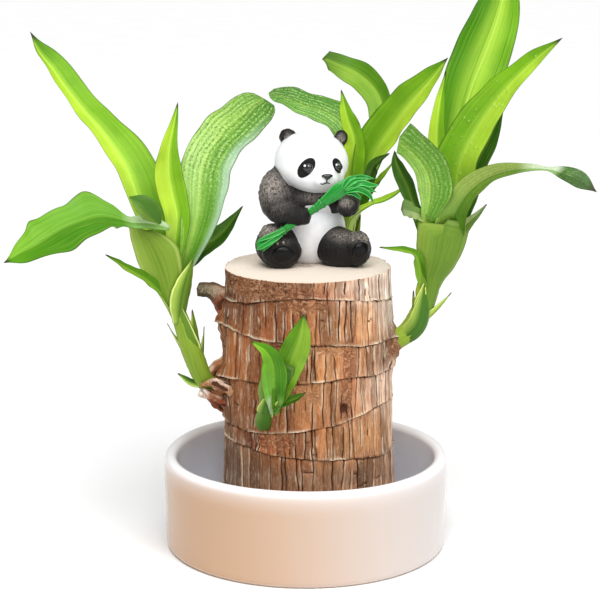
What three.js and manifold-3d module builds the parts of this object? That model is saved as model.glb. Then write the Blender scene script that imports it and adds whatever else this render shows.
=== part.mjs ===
// Houseplant: a ringed log stump standing in a shallow white bowl. Four leafy shoots grow from
// its knots, and a seated panda figurine with a bamboo sprig sits on the cut top.
// Millimetres, +Z up. The origin is the centre of the bowl's flat underside.
import * as THREE from 'three';
import { mergeVertices } from 'three/addons/utils/BufferGeometryUtils.js';
import Module from 'manifold-3d';

const wasm = await Module();
wasm.setup();

// Driving dimensions.
const GAP = 0.3;
const BOWL_RADIUS = 50;
const BOWL_HEIGHT = 33.5;
const BOWL_WALL = 4.6;
const BOWL_FLOOR = 4;
const BOWL_FOOT_RADIUS = 49.4;
const BOWL_SEGMENTS = 56;
const LOG_TOP = 100;
const LOG_BOTTOM = BOWL_FLOOR + GAP;
const LOG_RADIUS_TOP = 29.3;
const LOG_RADIUS_BOTTOM = 30.2;
const LOG_OFFSET_TOP = 0.7;
const LOG_OFFSET_BOTTOM = 1.3;
const LOG_COLUMNS = 50;
const BLADE_MIDRIB = 1.2;
const BLADE_EDGE = 0.6;
const BLADE_TIP_WIDTH = 1;
const PANDA_BASE = LOG_TOP + GAP;

const TAU = Math.PI * 2;
const group = new THREE.Group();

// A small repeatable random source, so that the log and the leaf edges always come out alike.
function randomFrom(seed) {
  let state = seed >>> 0;
  return () => {
    state = (Math.imul(state, 1664525) + 1013904223) >>> 0;
    return state / 4294967296;
  };
}

function material(color, roughness) {
  return new THREE.MeshStandardMaterial({ color, roughness, metalness: 0 });
}

const ceramic = () => material(0xf2ece6, 0.2);
const wood = () => material(0xa8744a, 0.85);
const stemGreen = () => material(0x9fbf3a, 0.5);
const brightLeaf = () => material(0x8fd028, 0.4);
const deepLeaf = () => material(0x4f9a1c, 0.35);
const resin = () => material(0xe8e8e6, 0.5);
const plasticGreen = () => material(0x14a032, 0.3);

// ---- Solids and meshes ----

// Six times the enclosed volume of a triangle list, positive when the faces point out.
function signedVolume(points, triangles) {
  let sum = 0;
  for (let i = 0; i < triangles.length; i += 3) {
    const [a, b, c] = [0, 1, 2].map((k) => triangles[i + k] * 3);
    sum += points[a] * (points[b + 1] * points[c + 2] - points[b + 2] * points[c + 1]);
    sum += points[a + 1] * (points[b + 2] * points[c] - points[b] * points[c + 2]);
    sum += points[a + 2] * (points[b] * points[c + 1] - points[b + 1] * points[c]);
  }
  return sum;
}

// A closed geometry as a solid that can be joined and cut.
function solid(geometry) {
  const bare = new THREE.BufferGeometry();
  bare.setAttribute('position', geometry.attributes.position.clone());
  if (geometry.index) bare.setIndex(geometry.index.clone());
  const merged = mergeVertices(bare, 1e-4);
  const points = new Float32Array(merged.attributes.position.array);
  const source = merged.index.array;
  const triangles = [];
  for (let i = 0; i < source.length; i += 3) {
    const [a, b, c] = [source[i], source[i + 1], source[i + 2]];
    if (a !== b && b !== c && c !== a) triangles.push(a, b, c);
  }
  if (signedVolume(points, triangles) < 0) triangles.reverse();
  const mesh = new wasm.Mesh({
    numProp: 3,
    vertProperties: points,
    triVerts: new Uint32Array(triangles),
  });
  return new wasm.Manifold(mesh);
}

// The main body of a cut piece. Crumbs are dropped, and a piece that was cut in two is an error.
function mainBody(cut, name) {
  const bodies = cut.decompose().sort((a, b) => b.volume() - a.volume());
  const rest = bodies.slice(1).reduce((sum, body) => sum + body.volume(), 0);
  if (bodies.length === 0 || rest > 0.3 * bodies[0].volume()) {
    throw new Error(`${name} is cut apart`);
  }
  return bodies[0];
}

function addMesh(name, body, look) {
  const { numProp, vertProperties, triVerts } = body.simplify(0.04).getMesh();
  const positions = new Float32Array(triVerts.length * 3);
  triVerts.forEach((vertex, i) => {
    for (let k = 0; k < 3; k += 1) positions[i * 3 + k] = vertProperties[vertex * numProp + k];
  });
  const geometry = new THREE.BufferGeometry();
  geometry.setAttribute('position', new THREE.BufferAttribute(positions, 3));
  geometry.computeVertexNormals();
  const mesh = new THREE.Mesh(geometry, look);
  mesh.name = name;
  group.add(mesh);
}

// ---- Smooth interpolation ----

// A value, or a vector of values, at s in 0..1 along a list of evenly spaced ones.
function along(list, s) {
  const last = list.length - 1;
  const t = Math.min(Math.max(s, 0), 1) * last;
  const i = Math.min(Math.floor(t), last - 1);
  const f = t - i;
  const at = (k) => list[Math.min(Math.max(k, 0), last)];
  const blend = (a, b, c, d) =>
    b + 0.5 * f * (c - a + f * (2 * a - 5 * b + 4 * c - d + f * (3 * (b - c) + d - a)));
  const [a, b, c, d] = [at(i - 1), at(i), at(i + 1), at(i + 2)];
  if (typeof b === 'number') return blend(a, b, c, d);
  return b.map((value, k) => blend(a[k], value, c[k], d[k]));
}

function curveThrough(points) {
  return new THREE.CatmullRomCurve3(points.map((p) => new THREE.Vector3(...p)), false, 'centripetal');
}

// ---- Stems, stubs and limbs ----

// A round body along a path. Each radius is one number, or [across, deep] for a flattened body.
function limb({ path, radii, sides = 10, steps = 8, grow = 0, across = [1, 0, 0] }) {
  const curve = curveThrough(path);
  const points = [];
  const index = [];
  const sideways = new THREE.Vector3();
  const deep = new THREE.Vector3();
  for (let i = 0; i <= steps; i += 1) {
    const s = i / steps;
    const tangent = curve.getTangentAt(s);
    const end = i === 0 ? -grow : i === steps ? grow : 0;
    const centre = curve.getPointAt(s).addScaledVector(tangent, end);
    deep.crossVectors(tangent, sideways.set(...across)).normalize();
    sideways.crossVectors(deep, tangent).normalize();
    const radius = along(radii, s);
    const [rx, ry] = typeof radius === 'number' ? [radius, radius] : radius;
    for (let k = 0; k < sides; k += 1) {
      const angle = (TAU * k) / sides;
      const p = centre.clone();
      p.addScaledVector(sideways, Math.cos(angle) * (rx + grow));
      p.addScaledVector(deep, Math.sin(angle) * (ry + grow));
      points.push(p.x, p.y, p.z);
    }
  }
  for (let i = 0; i < steps; i += 1) {
    for (let k = 0; k < sides; k += 1) {
      const a = i * sides + k;
      const b = i * sides + ((k + 1) % sides);
      index.push(a, b, b + sides, a, b + sides, a + sides);
    }
  }
  for (let k = 1; k < sides - 1; k += 1) {
    const top = steps * sides;
    index.push(0, k + 1, k, top, top + k, top + k + 1);
  }
  const geometry = new THREE.BufferGeometry();
  geometry.setAttribute('position', new THREE.Float32BufferAttribute(points, 3));
  geometry.setIndex(index);
  return solid(geometry);
}

// An ellipsoid, turned by [x, y, z] angles in degrees.
function ellipsoid(centre, radii, turn = [0, 0, 0], detail = 16) {
  const geometry = new THREE.SphereGeometry(1, detail, Math.round(detail * 0.65));
  geometry.rotateX(Math.PI / 2);
  geometry.scale(...radii);
  const angles = turn.map((angle) => THREE.MathUtils.degToRad(angle));
  geometry.applyMatrix4(new THREE.Matrix4().makeRotationFromEuler(new THREE.Euler(...angles)));
  geometry.translate(...centre);
  return solid(geometry);
}

// ---- Leaf blades ----

// A blade along a spine, from its base to its tip. "face" tells which way its upper side looks,
// "fold" how far its halves rise from the midrib, in degrees, and "ripple" how far its edges wave.
function blade(leaf, grow = 0) {
  const { spine, widths, face, fold = [38, 22, 14], ripple = 0.4, steps = 12, across = 5, seed = 1 } = leaf;
  const random = randomFrom(seed * 7919);
  const phases = [random() * TAU, random() * TAU];
  const curve = curveThrough(spine);
  const points = [];
  const index = [];
  const half = (across - 1) / 2;
  const normal = new THREE.Vector3();
  const side = new THREE.Vector3();
  for (let i = 0; i <= steps; i += 1) {
    const s = i / steps;
    const tangent = curve.getTangentAt(s);
    const end = i === 0 ? -grow : i === steps ? grow : 0;
    const centre = curve.getPointAt(s).addScaledVector(tangent, end);
    normal.set(...along(face, s));
    side.crossVectors(tangent, normal).normalize();
    normal.crossVectors(side, tangent).normalize();
    const width = Math.max(along(widths, s), BLADE_TIP_WIDTH);
    const angle = THREE.MathUtils.degToRad(along(fold, s));
    for (const upper of [1, -1]) {
      for (let j = 0; j < across; j += 1) {
        const u = upper > 0 ? (j - half) / half : (half - j) / half;
        const reach = u * (width / 2 + grow);
        const wave = ripple * u * u * Math.sin(s * 16 + phases[u > 0 ? 1 : 0]) * Math.min(1, width / 8);
        const lift = Math.abs(u) ** 1.4 * (width / 2) * Math.sin(angle) + wave;
        const thick = THREE.MathUtils.lerp(BLADE_MIDRIB, BLADE_EDGE, Math.max(Math.abs(u), s)) / 2 + grow;
        const p = centre.clone();
        p.addScaledVector(side, reach * Math.cos(angle));
        p.addScaledVector(normal, lift + upper * thick);
        points.push(p.x, p.y, p.z);
      }
    }
  }
  const ring = across * 2;
  for (let i = 0; i < steps; i += 1) {
    for (let k = 0; k < ring; k += 1) {
      const a = i * ring + k;
      const b = i * ring + ((k + 1) % ring);
      if (k < across) index.push(a, b, b + ring, a, b + ring, a + ring);
      else index.push(a, b, a + ring, b, b + ring, a + ring);
    }
  }
  for (let j = 0; j < across - 1; j += 1) {
    const [a, b, c, d] = [j, j + 1, ring - 2 - j, ring - 1 - j];
    const top = steps * ring;
    index.push(b, a, c, c, a, d, top + a, top + b, top + c, top + a, top + c, top + d);
  }
  const geometry = new THREE.BufferGeometry();
  geometry.setAttribute('position', new THREE.Float32BufferAttribute(points, 3));
  geometry.setIndex(index);
  return solid(geometry);
}

// A short pointed sheath that hugs a stem. It is joined to the stem, so its base sinks into it.
function scale(base, middle, tip, width, face) {
  return {
    spine: [base, middle, tip],
    widths: [width * 0.7, width, width * 0.85, width * 0.45, 1],
    face: [face],
    fold: [-48, -40, -22],
    ripple: 0,
    steps: 4,
    across: 3,
  };
}

// ---- Bowl ----

// A half profile turned round the axis: floor, inner wall, full round rim, outer wall, foot.
function bowl() {
  const inner = BOWL_RADIUS - BOWL_WALL;
  const rim = BOWL_WALL / 2;
  const profile = [[0, BOWL_FLOOR], [inner - 9, BOWL_FLOOR]];
  for (let i = 1; i <= 4; i += 1) {
    const angle = (Math.PI / 2) * (i / 4);
    profile.push([inner - 9 + 8 * Math.sin(angle), BOWL_FLOOR + 8 * (1 - Math.cos(angle))]);
  }
  for (let i = 0; i <= 6; i += 1) {
    const angle = Math.PI * (i / 6);
    profile.push([
      BOWL_RADIUS - rim - rim * Math.cos(angle),
      BOWL_HEIGHT - rim + rim * Math.sin(angle),
    ]);
  }
  profile.push([BOWL_FOOT_RADIUS, 2.2], [BOWL_FOOT_RADIUS - 0.7, 0.7], [BOWL_FOOT_RADIUS - 2.2, 0], [0, 0]);
  const turned = new THREE.LatheGeometry(profile.map((p) => new THREE.Vector2(...p)), BOWL_SEGMENTS);
  turned.rotateX(Math.PI / 2);
  return solid(turned);
}

addMesh('bowl', bowl(), ceramic());

// ---- Log ----

// Growth rings round the trunk, from the top down: height, tilt, and the angle it tilts towards.
const RINGS = [
  { height: 93.5, tilt: 0.7, towards: 2.4 },
  { height: 79, tilt: 1.9, towards: Math.PI },
  { height: 64, tilt: 0.8, towards: 2.2 },
  { height: 49.5, tilt: 3, towards: 0.2 },
  { height: 38.5, tilt: 1.6, towards: 3 },
  { height: 22, tilt: 1.2, towards: 5 },
];

// Swellings where shoots grow: angle, height, how far each stands out, and its spread.
const KNOTS = [
  { angle: 3.22, height: 57, out: 6.2, round: 5.6, tall: 6.5 },
  { angle: 3.14, height: 81, out: 2.4, round: 5, tall: 7 },
  { angle: 6.12, height: 73, out: 3.4, round: 6, tall: 5.5 },
  { angle: 4.19, height: 50, out: 1.8, round: 5, tall: 5 },
  { angle: 1.05, height: 86, out: 2.6, round: 6, tall: 6 },
];

function ringHeight(ring, angle) {
  return ring.height + ring.tilt * Math.cos(angle - ring.towards) + 0.45 * Math.sin(angle * 5 + ring.height);
}

// Rows run along the rings: one just over each ledge, one in its groove, and some in each band.
function log(grow = 0) {
  const edges = [{ height: LOG_TOP, tilt: 0, towards: 0, flat: true }, ...RINGS];
  edges.push({ height: LOG_BOTTOM, tilt: 0, towards: 0, flat: true });
  const rows = [];
  edges.slice(0, -1).forEach((upper, band) => {
    const lower = edges[band + 1];
    const places = [0.03, 0.15, 0.6, 0.97];
    places.forEach((place, i) => rows.push({ upper, lower, band, place, edge: i === 0 || i === 3 }));
  });
  const random = randomFrom(20240);
  const plates = edges.map(() => {
    const list = [];
    while (list.length < LOG_COLUMNS) {
      const width = 1 + Math.floor(random() * 3);
      const level = (random() - 0.5) * 0.9;
      for (let k = 0; k < width; k += 1) list.push(k === 0 ? level - 0.75 : level);
    }
    return list;
  });
  const height = (edge, angle) => (edge.flat ? edge.height : ringHeight(edge, angle));
  const profile = [[0, 0]];
  rows.forEach((row, i) => profile.push([1, i + 1]));
  profile.push([0, rows.length + 1]);
  const lathe = new THREE.LatheGeometry(profile.map((p) => new THREE.Vector2(...p)), LOG_COLUMNS);
  const position = lathe.attributes.position;
  for (let i = 0; i < position.count; i += 1) {
    const column = Math.floor(i / profile.length) % LOG_COLUMNS;
    const angle = (TAU * column) / LOG_COLUMNS;
    const level = i % profile.length;
    const cap = level === 0 ? LOG_TOP + grow : level === profile.length - 1 ? LOG_BOTTOM - grow : null;
    if (cap !== null) {
      position.setXYZ(i, level === 0 ? LOG_OFFSET_TOP : LOG_OFFSET_BOTTOM, 0, cap);
      continue;
    }
    const row = rows[level - 1];
    let z = THREE.MathUtils.lerp(height(row.upper, angle), height(row.lower, angle), row.place);
    const share = (z - LOG_BOTTOM) / (LOG_TOP - LOG_BOTTOM);
    let radius = THREE.MathUtils.lerp(LOG_RADIUS_BOTTOM, LOG_RADIUS_TOP, share) - 0.5;
    radius += 0.5 * Math.sin(angle * 2 + z * 0.05) * Math.sin(z * 0.07 + 1);
    radius += plates[row.band][column] * (row.edge ? 0.6 : 1);
    if (row.edge) radius -= row.place < 0.5 ? 0.9 : -0.2;
    for (const knot of KNOTS) {
      const turn = Math.atan2(Math.sin(angle - knot.angle), Math.cos(angle - knot.angle));
      const away = (turn * LOG_RADIUS_TOP) / knot.round;
      const over = (z - knot.height) / knot.tall;
      radius += knot.out * Math.exp(-away * away - over * over);
    }
    if (level === 1) z = LOG_TOP;
    if (level === rows.length) z = LOG_BOTTOM;
    z += level === 1 ? grow : level === rows.length ? -grow : 0;
    const offset = THREE.MathUtils.lerp(LOG_OFFSET_BOTTOM, LOG_OFFSET_TOP, share);
    position.setXYZ(i, Math.cos(angle) * (radius + grow) + offset, Math.sin(angle) * (radius + grow), z);
  }
  return solid(lathe);
}

// A cut branch stub points up and left from the trunk. Root-like fingers hold the left shoot's base.
const LOG_LIMBS = [
  { path: [[-24, 0, 78], [-30, 0, 84], [-34, 0, 88.5], [-36.5, 0, 90]], radii: [4.6, 4.4, 3.8, 2.2], steps: 6 },
  { path: [[-24, -9, 60], [-30, -8, 57], [-35, -6, 55.5]], radii: [2.6, 2.4, 1.3], steps: 5, sides: 7 },
  { path: [[-25, 4, 62], [-31, 3, 60], [-35.5, 1, 57]], radii: [2.6, 2.4, 1.4], steps: 5, sides: 7 },
  { path: [[-26, -5, 50], [-31, -5, 52], [-34, -4, 55]], radii: [2.2, 2, 1.4], steps: 5, sides: 7 },
];

function trunk(grow = 0) {
  return LOG_LIMBS.reduce((body, item) => body.add(limb({ ...item, grow })), log(grow));
}

const trunkClearance = trunk(GAP + 0.1);
addMesh('log', mainBody(trunk(), 'log'), wood());

// ---- Shoots ----

// Each shoot is a stem with sheaths joined to it, then its blades from the inside out. A blade's
// base is cut back to the stem and to the blades inside it, so that all of them stay apart.
function shoot(prefix, stem, scales, leaves) {
  const build = (grow) => {
    const body = limb({ ...stem, grow });
    return scales.reduce((sum, item) => sum.add(blade(item, grow)), body);
  };
  const body = mainBody(build(0).subtract(trunkClearance), `${prefix}_stem`);
  addMesh(`${prefix}_stem`, body, stemGreen());
  let taken = build(GAP).add(trunkClearance);
  leaves.forEach((leaf, i) => {
    const name = `${prefix}_leaf_${leaf.name}`;
    const shape = { seed: i + prefix.length * 10, ...leaf };
    addMesh(name, mainBody(blade(shape).subtract(taken), name), leaf.deep ? deepLeaf() : brightLeaf());
    taken = taken.add(blade(shape, GAP));
  });
}

shoot(
  'left',
  {
    path: [
      [-30, -2, 56], [-35, -4, 60], [-39, -6, 70], [-43, -6, 82], [-47, -5, 92], [-50, -1, 104], [-51, 2, 111],
    ],
    radii: [[3, 3], [3.4, 3.2], [3.8, 3.4], [2.9, 2.7], [2.6, 2.5], [5, 3.6], [6.4, 3.6]],
    steps: 10,
  },
  [
    scale([-37, -7, 62], [-41, -9, 75], [-44, -8, 88], 8, [-0.3, -1, 0]),
    scale([-36, -3, 62], [-38, -6, 76], [-39, -7, 86], 8, [0.8, -0.6, 0]),
    scale([-43, -8, 82], [-41, -9, 94], [-38.5, -8, 103], 9, [0.5, -0.85, 0]),
    scale([-40, -5, 66], [-44, -5, 73], [-48, -5, 80], 4, [-1, 0, 0.3]),
    scale([-36, -4, 60], [-36, -4, 70], [-36, -5, 80], 5, [1, -0.2, 0]),
    scale([-33, -4, 60], [-40, -4, 59], [-44, -4, 62], 4, [-0.2, -0.6, 0.8]),
  ],
  [
    {
      name: 'inner',
      spine: [[-49, -1, 106], [-49, -2, 114], [-49, -3, 124], [-48, -4, 136], [-46, -4, 147], [-43, -3, 157]],
      widths: [7, 10, 11, 10.5, 8.5, 5, 1],
      face: [[0.25, -1, 0.1], [0.35, -0.9, 0.2]],
    },
    {
      name: 'broad',
      spine: [
        [-45, -1, 101], [-42, 1, 110], [-39, 4, 120], [-36, 7, 129], [-32, 10, 138], [-26, 14, 146],
        [-20, 20, 153], [-16, 27, 155], [-14, 33, 151],
      ],
      widths: [7, 12, 16.5, 18.5, 19, 20.5, 21.5, 19, 12, 2],
      face: [[0.3, -1, 0.1], [-0.2, -0.95, 0.2], [-0.4, -0.8, 0.5], [-0.3, -0.3, 0.9], [0.1, 0.7, 0.6]],
      fold: [45, 16, 8, 5, 8],
      steps: 15,
    },
    {
      name: 'tall',
      spine: [
        [-51, 3, 106], [-54, 5, 116], [-59, 9, 128], [-67, 15, 141], [-78, 22, 153], [-88, 28, 165],
        [-97, 31, 177],
      ],
      widths: [7, 12.5, 16, 15, 12.5, 11, 9.5, 7, 1],
      face: [[0.3, -0.9, 0.2], [0.5, -0.8, 0.35], [0.5, -0.75, 0.45]],
      fold: [42, 26, 20, 16],
      steps: 13,
    },
    {
      name: 'drooping',
      spine: [
        [-50, -1, 104], [-53, -4, 111], [-57, -8, 115], [-64, -13, 118], [-75, -21, 117], [-88, -29, 112],
        [-99, -34, 108],
      ],
      widths: [6, 6, 4.5, 13, 21, 22, 19, 12, 2],
      face: [[-0.5, -0.8, 0.2], [0.1, -0.65, 0.75], [-0.1, -0.65, 0.76], [-0.35, -0.7, 0.62]],
      fold: [60, 30, 14, 10],
      steps: 15,
      deep: true,
    },
    {
      name: 'dark',
      spine: [[-46, -3, 93], [-43, 0, 98], [-37, 5, 104], [-29, 9, 110], [-22, 12, 119]],
      widths: [4, 7, 8, 7, 4.5, 1],
      face: [[-0.2, -0.9, 0.4], [-0.3, -0.85, 0.4]],
      steps: 10,
      deep: true,
    },
    {
      name: 'lower',
      spine: [[-46, -6, 86], [-50, -8, 92], [-54, -11, 97], [-60, -16, 102], [-67, -21, 108]],
      widths: [3.5, 4.4, 4.6, 4, 2.8, 1],
      face: [[0.3, -0.7, 0.6], [0.3, -0.6, 0.7]],
      steps: 9,
      across: 3,
      deep: true,
    },
  ],
);

shoot(
  'back',
  {
    path: [
      [13, 23, 84], [15, 30, 89], [16, 33, 96], [15, 32, 104], [15, 30, 112], [16, 29, 121], [17, 28, 129],
    ],
    radii: [[3, 3], [3.2, 3.2], [3, 3], [2.4, 2.4], [2.2, 2.2], [3.6, 3], [4.6, 3.2]],
    steps: 9,
  },
  [
    scale([15, 31, 90], [14, 30, 100], [11, 30, 108], 7, [-0.6, -0.6, 0]),
    scale([16, 33, 94], [18, 33, 104], [20, 32, 112], 6, [0.8, 0.3, 0]),
    scale([15, 31, 104], [15, 30, 115], [13, 28, 123], 7, [-0.3, -1, 0]),
  ],
  [
    {
      name: 'inner',
      spine: [[17, 27, 124], [17, 25, 132], [18, 22, 141], [15, 20, 150], [13, 18, 158]],
      widths: [6, 7.5, 7.5, 6, 4, 1],
      face: [[0, -1, 0.1], [0.2, -0.9, 0.2]],
      steps: 10,
    },
    {
      name: 'striped',
      spine: [
        [16, 30, 123], [15, 31, 134], [11, 34, 143], [4, 37, 148], [-3, 39, 151], [-9, 41, 154],
        [-15, 43, 155],
      ],
      widths: [6, 7.5, 9, 11, 12.5, 13, 11, 3],
      face: [[-0.6, -0.8, 0.2], [-0.3, -0.65, 0.7], [-0.1, -0.55, 0.83], [-0.1, -0.5, 0.86]],
      fold: [40, 18, 10, 8],
      steps: 14,
    },
    {
      name: 'high',
      spine: [
        [19, 31, 124], [24, 33, 134], [27, 36, 143], [27, 39, 150], [22, 43, 157], [14, 46, 163], [6, 49, 167],
      ],
      widths: [6, 8, 9.5, 10.5, 10.5, 10, 9, 5],
      face: [[0.3, -0.9, 0.2], [-0.2, -0.8, 0.55], [-0.1, -0.7, 0.7]],
      steps: 13,
    },
    {
      name: 'bright',
      spine: [[19, 26, 123], [21, 24, 131], [28, 20, 142], [35, 15, 152], [42, 10, 162], [49, 5, 171]],
      widths: [6, 12, 15.5, 15, 12.5, 9, 5, 1],
      face: [[0, -0.9, 0.3], [-0.35, -0.85, 0.35], [-0.4, -0.8, 0.4]],
      fold: [44, 26, 18],
    },
    {
      name: 'fold',
      spine: [[19, 25, 119], [22, 20, 127], [24, 15, 133], [29, 9, 138]],
      widths: [4, 5, 4.5, 1],
      face: [[0.2, -0.8, 0.5], [0.2, -0.8, 0.5]],
      steps: 8,
      across: 3,
      deep: true,
    },
    {
      name: 'short',
      spine: [[19, 28, 115], [24, 25, 123], [28, 20, 129], [31, 14, 135]],
      widths: [3, 3.6, 3, 1],
      face: [[0, -0.7, 0.7], [0, -0.7, 0.7]],
      steps: 8,
      across: 3,
    },
    {
      name: 'arching',
      spine: [[15, 29, 107], [18, 21, 114], [23, 15, 119], [28, 11, 121.5], [36, 7, 127]],
      widths: [3, 3.4, 3.2, 2.6, 1],
      face: [[0, -0.6, 0.8], [0, -0.7, 0.7]],
      steps: 9,
      across: 3,
    },
  ],
);

shoot(
  'right',
  {
    path: [[27, -3, 70], [31, -4, 74], [36, -4, 78], [41, -4, 87], [44, -3, 96], [45, -2, 106], [46, 0, 115]],
    radii: [[3.2, 3.2], [3.4, 3.2], [3.6, 3.2], [3.8, 3.2], [3.3, 3], [4.6, 3.4], [6.6, 3.8]],
    steps: 10,
  },
  [
    scale([33, -6, 74], [40, -8, 83], [41, -8, 94], 8, [0.2, -1, 0]),
    scale([38, -4, 79], [44, -5, 85], [50, -5, 91], 5, [0.7, -0.5, -0.4]),
    scale([35, -5, 75], [37, -6, 84], [37, -6, 92], 5, [-0.8, -0.5, 0]),
    scale([40, -6, 84], [45, -7, 95], [46, -6, 104], 7, [0.5, -0.8, 0]),
    scale([40, -2, 84], [42, 0, 95], [42, 2, 103], 7, [-0.3, 1, 0]),
  ],
  [
    {
      name: 'inner',
      spine: [[46, 1, 110], [46, 2, 120], [46, 3, 132], [45, 4, 144], [46, 5, 156], [48, 6, 166]],
      widths: [6, 7.5, 8, 7.5, 6, 3.5, 1],
      face: [[0.1, -1, 0.1], [-0.2, -0.95, 0.2]],
      steps: 11,
    },
    {
      name: 'front',
      spine: [
        [44, -3, 106], [43, -7, 116], [43, -11, 124], [41, -15, 134], [37, -18, 142], [34, -21, 149],
        [33, -18, 154],
      ],
      widths: [7, 10.5, 13.5, 14.5, 15.5, 14.5, 11, 3],
      face: [[0.1, -1, 0.1], [0, -1, 0.15], [-0.3, -0.9, 0.35], [-0.2, -0.2, 0.9]],
      fold: [44, 18, 10, 6],
      steps: 15,
    },
    {
      name: 'tall',
      spine: [
        [48, 5, 110], [50, 11, 121], [51, 16, 134], [54, 20, 148], [58, 23, 161], [63, 26, 173], [68, 29, 187],
        [71, 31, 203],
      ],
      widths: [7, 9, 11, 14, 18, 21, 19.5, 14, 1],
      face: [[-0.2, -0.95, 0.1], [-0.1, -0.97, 0.2], [-0.1, -0.95, 0.25]],
      fold: [44, 24, 16, 12],
      steps: 14,
    },
    {
      name: 'dark',
      spine: [[50, 1, 109], [53, 4, 120], [56, 6, 132], [62, 8, 143], [69, 10, 155]],
      widths: [6, 10, 12, 11.5, 7.5, 1],
      face: [[-0.3, -0.9, 0.3], [-0.3, -0.8, 0.5]],
      steps: 12,
      deep: true,
    },
    {
      name: 'bright',
      spine: [
        [49, -1, 111], [50, -3, 124], [52, -6, 138], [58, -10, 151], [65, -15, 162], [74, -19, 172],
        [83, -24, 180],
      ],
      widths: [6.5, 11, 15, 16.5, 15, 12.5, 9.5, 6, 1],
      face: [[0, -0.95, 0.1], [-0.35, -0.9, 0.25], [-0.4, -0.8, 0.4]],
      fold: [44, 24, 16, 12],
      steps: 14,
    },
    {
      name: 'arched',
      spine: [
        [48, -4, 111], [51, -9, 121], [56, -15, 128], [63, -21, 134], [71, -26, 137.5], [79, -31, 139],
        [87, -35, 137], [94, -39, 133],
      ],
      widths: [6, 8.5, 9, 8, 7, 7, 6.5, 5, 1],
      face: [[0.3, -0.9, 0.1], [-0.5, -0.6, 0.6], [-0.3, 0, 0.95], [0, -0.1, 1], [0.1, -0.55, 0.8]],
      fold: [44, 30, 20, 12],
      steps: 14,
      deep: true,
    },
    {
      name: 'strip',
      spine: [[43, 2, 108], [39, 9, 120], [36, 14, 129], [31, 18, 138]],
      widths: [4, 5, 4.5, 1],
      face: [[-0.2, -0.95, 0.2], [-0.3, -0.9, 0.3]],
      steps: 9,
      across: 3,
      deep: true,
    },
    {
      name: 'blunt',
      spine: [[43, -4, 108], [40, -8, 115], [36.5, -10, 119], [32, -12, 122]],
      widths: [4.5, 5.5, 5.5, 4.5],
      face: [[-0.5, -0.8, 0.3], [-0.5, -0.8, 0.3]],
      steps: 8,
    },
    {
      name: 'short',
      spine: [[47, -4, 101], [51, -7, 108], [55, -11, 116], [61, -15, 124]],
      widths: [4, 5, 4, 1],
      face: [[0.2, -0.9, 0.3], [0, -0.8, 0.6]],
      steps: 8,
    },
    {
      name: 'lower',
      spine: [[42, -4, 91], [39, -8, 99], [35, -12, 105], [31, -16, 108], [25, -20, 110]],
      widths: [3.6, 5, 5, 4, 1],
      face: [[-0.3, -0.8, 0.5], [-0.2, -0.7, 0.7]],
      steps: 9,
      across: 3,
      deep: true,
    },
  ],
);

shoot(
  'front',
  {
    path: [
      [-15, -24, 47], [-15, -29, 50], [-14, -33, 54.5], [-12, -35.5, 60], [-9.5, -36.5, 66], [-8, -37, 71],
    ],
    radii: [[2.6, 2.4], [2.6, 2.4], [2.4, 2.2], [2.2, 2.1], [2.2, 1.9], [2.6, 1.6]],
    steps: 8,
    sides: 8,
  },
  [
    scale([-15, -31, 52], [-14.5, -36.5, 59], [-13, -39, 67], 6, [-0.2, -1, 0]),
    scale([-14, -32, 53], [-10, -36, 58], [-8, -38, 64], 5, [0.6, -0.8, 0]),
  ],
  [
    {
      name: 'main',
      spine: [[-8.5, -37.5, 64], [-6, -38.5, 71], [-4, -40, 79], [-2, -41, 86], [0, -41, 93]],
      widths: [4, 7, 9.5, 10, 7, 1],
      face: [[0, -1, 0.1], [0, -0.95, 0.2]],
      steps: 10,
    },
    {
      name: 'left',
      spine: [[-11, -37, 62], [-9.5, -41, 70], [-11, -44, 77], [-13, -46, 81], [-17, -47, 85]],
      widths: [3.4, 4.6, 5, 4, 1],
      face: [[-0.3, -0.9, 0.2], [-0.2, -0.9, 0.3]],
      steps: 8,
      deep: true,
    },
    {
      name: 'right',
      spine: [[-9, -37, 59], [-6, -40, 62], [-3, -43, 65], [0, -45, 68]],
      widths: [3, 4, 3.4, 1],
      face: [[0, -0.7, 0.7], [0, -0.7, 0.7]],
      steps: 7,
      across: 3,
    },
  ],
);

// ---- Bamboo sprig, held in both paws ----

const SPRIG_LOW = [-16.5, -6.5, 107.6];
const SPRIG_GRIP = [1, -7.6, 119.6];
const SPRIG_HIGH = [15.5, -8, 129.6];

function sprig(grow = 0) {
  const radii = [1.3, 1.25, 1.3, 1.7, 2.2, 1.8];
  const parts = [limb({ path: [SPRIG_LOW, SPRIG_GRIP, SPRIG_HIGH], radii, steps: 7, sides: 8, grow })];
  const leaves = [
    { to: [19.5, -9.5, 132.5], width: 4 },
    { to: [25, -9, 129.5], width: 4.4 },
    { to: [22.5, -9.5, 124], width: 4 },
    { to: [14, -10.5, 131.5], width: 3.6 },
    { to: [17, -7, 127], width: 3.6 },
  ];
  leaves.forEach(({ to, width }, i) => {
    const from = [11 + i * 0.3, -8, 127.6];
    const middle = from.map((value, k) => value + (to[k] - value) * 0.55 - (k === 1 ? 0.8 : 0));
    const leaf = { spine: [from, middle, to], widths: [2, width, width, 1], face: [[0, -1, 0.2]] };
    parts.push(blade({ ...leaf, steps: 6, across: 3, ripple: 0 }, grow));
  });
  return parts.reduce((sum, item) => sum.add(item));
}

addMesh('panda_bamboo_sprig', mainBody(sprig(), 'sprig'), plasticGreen());

// ---- Panda figurine, one cast piece, its head turned to its left ----

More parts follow.
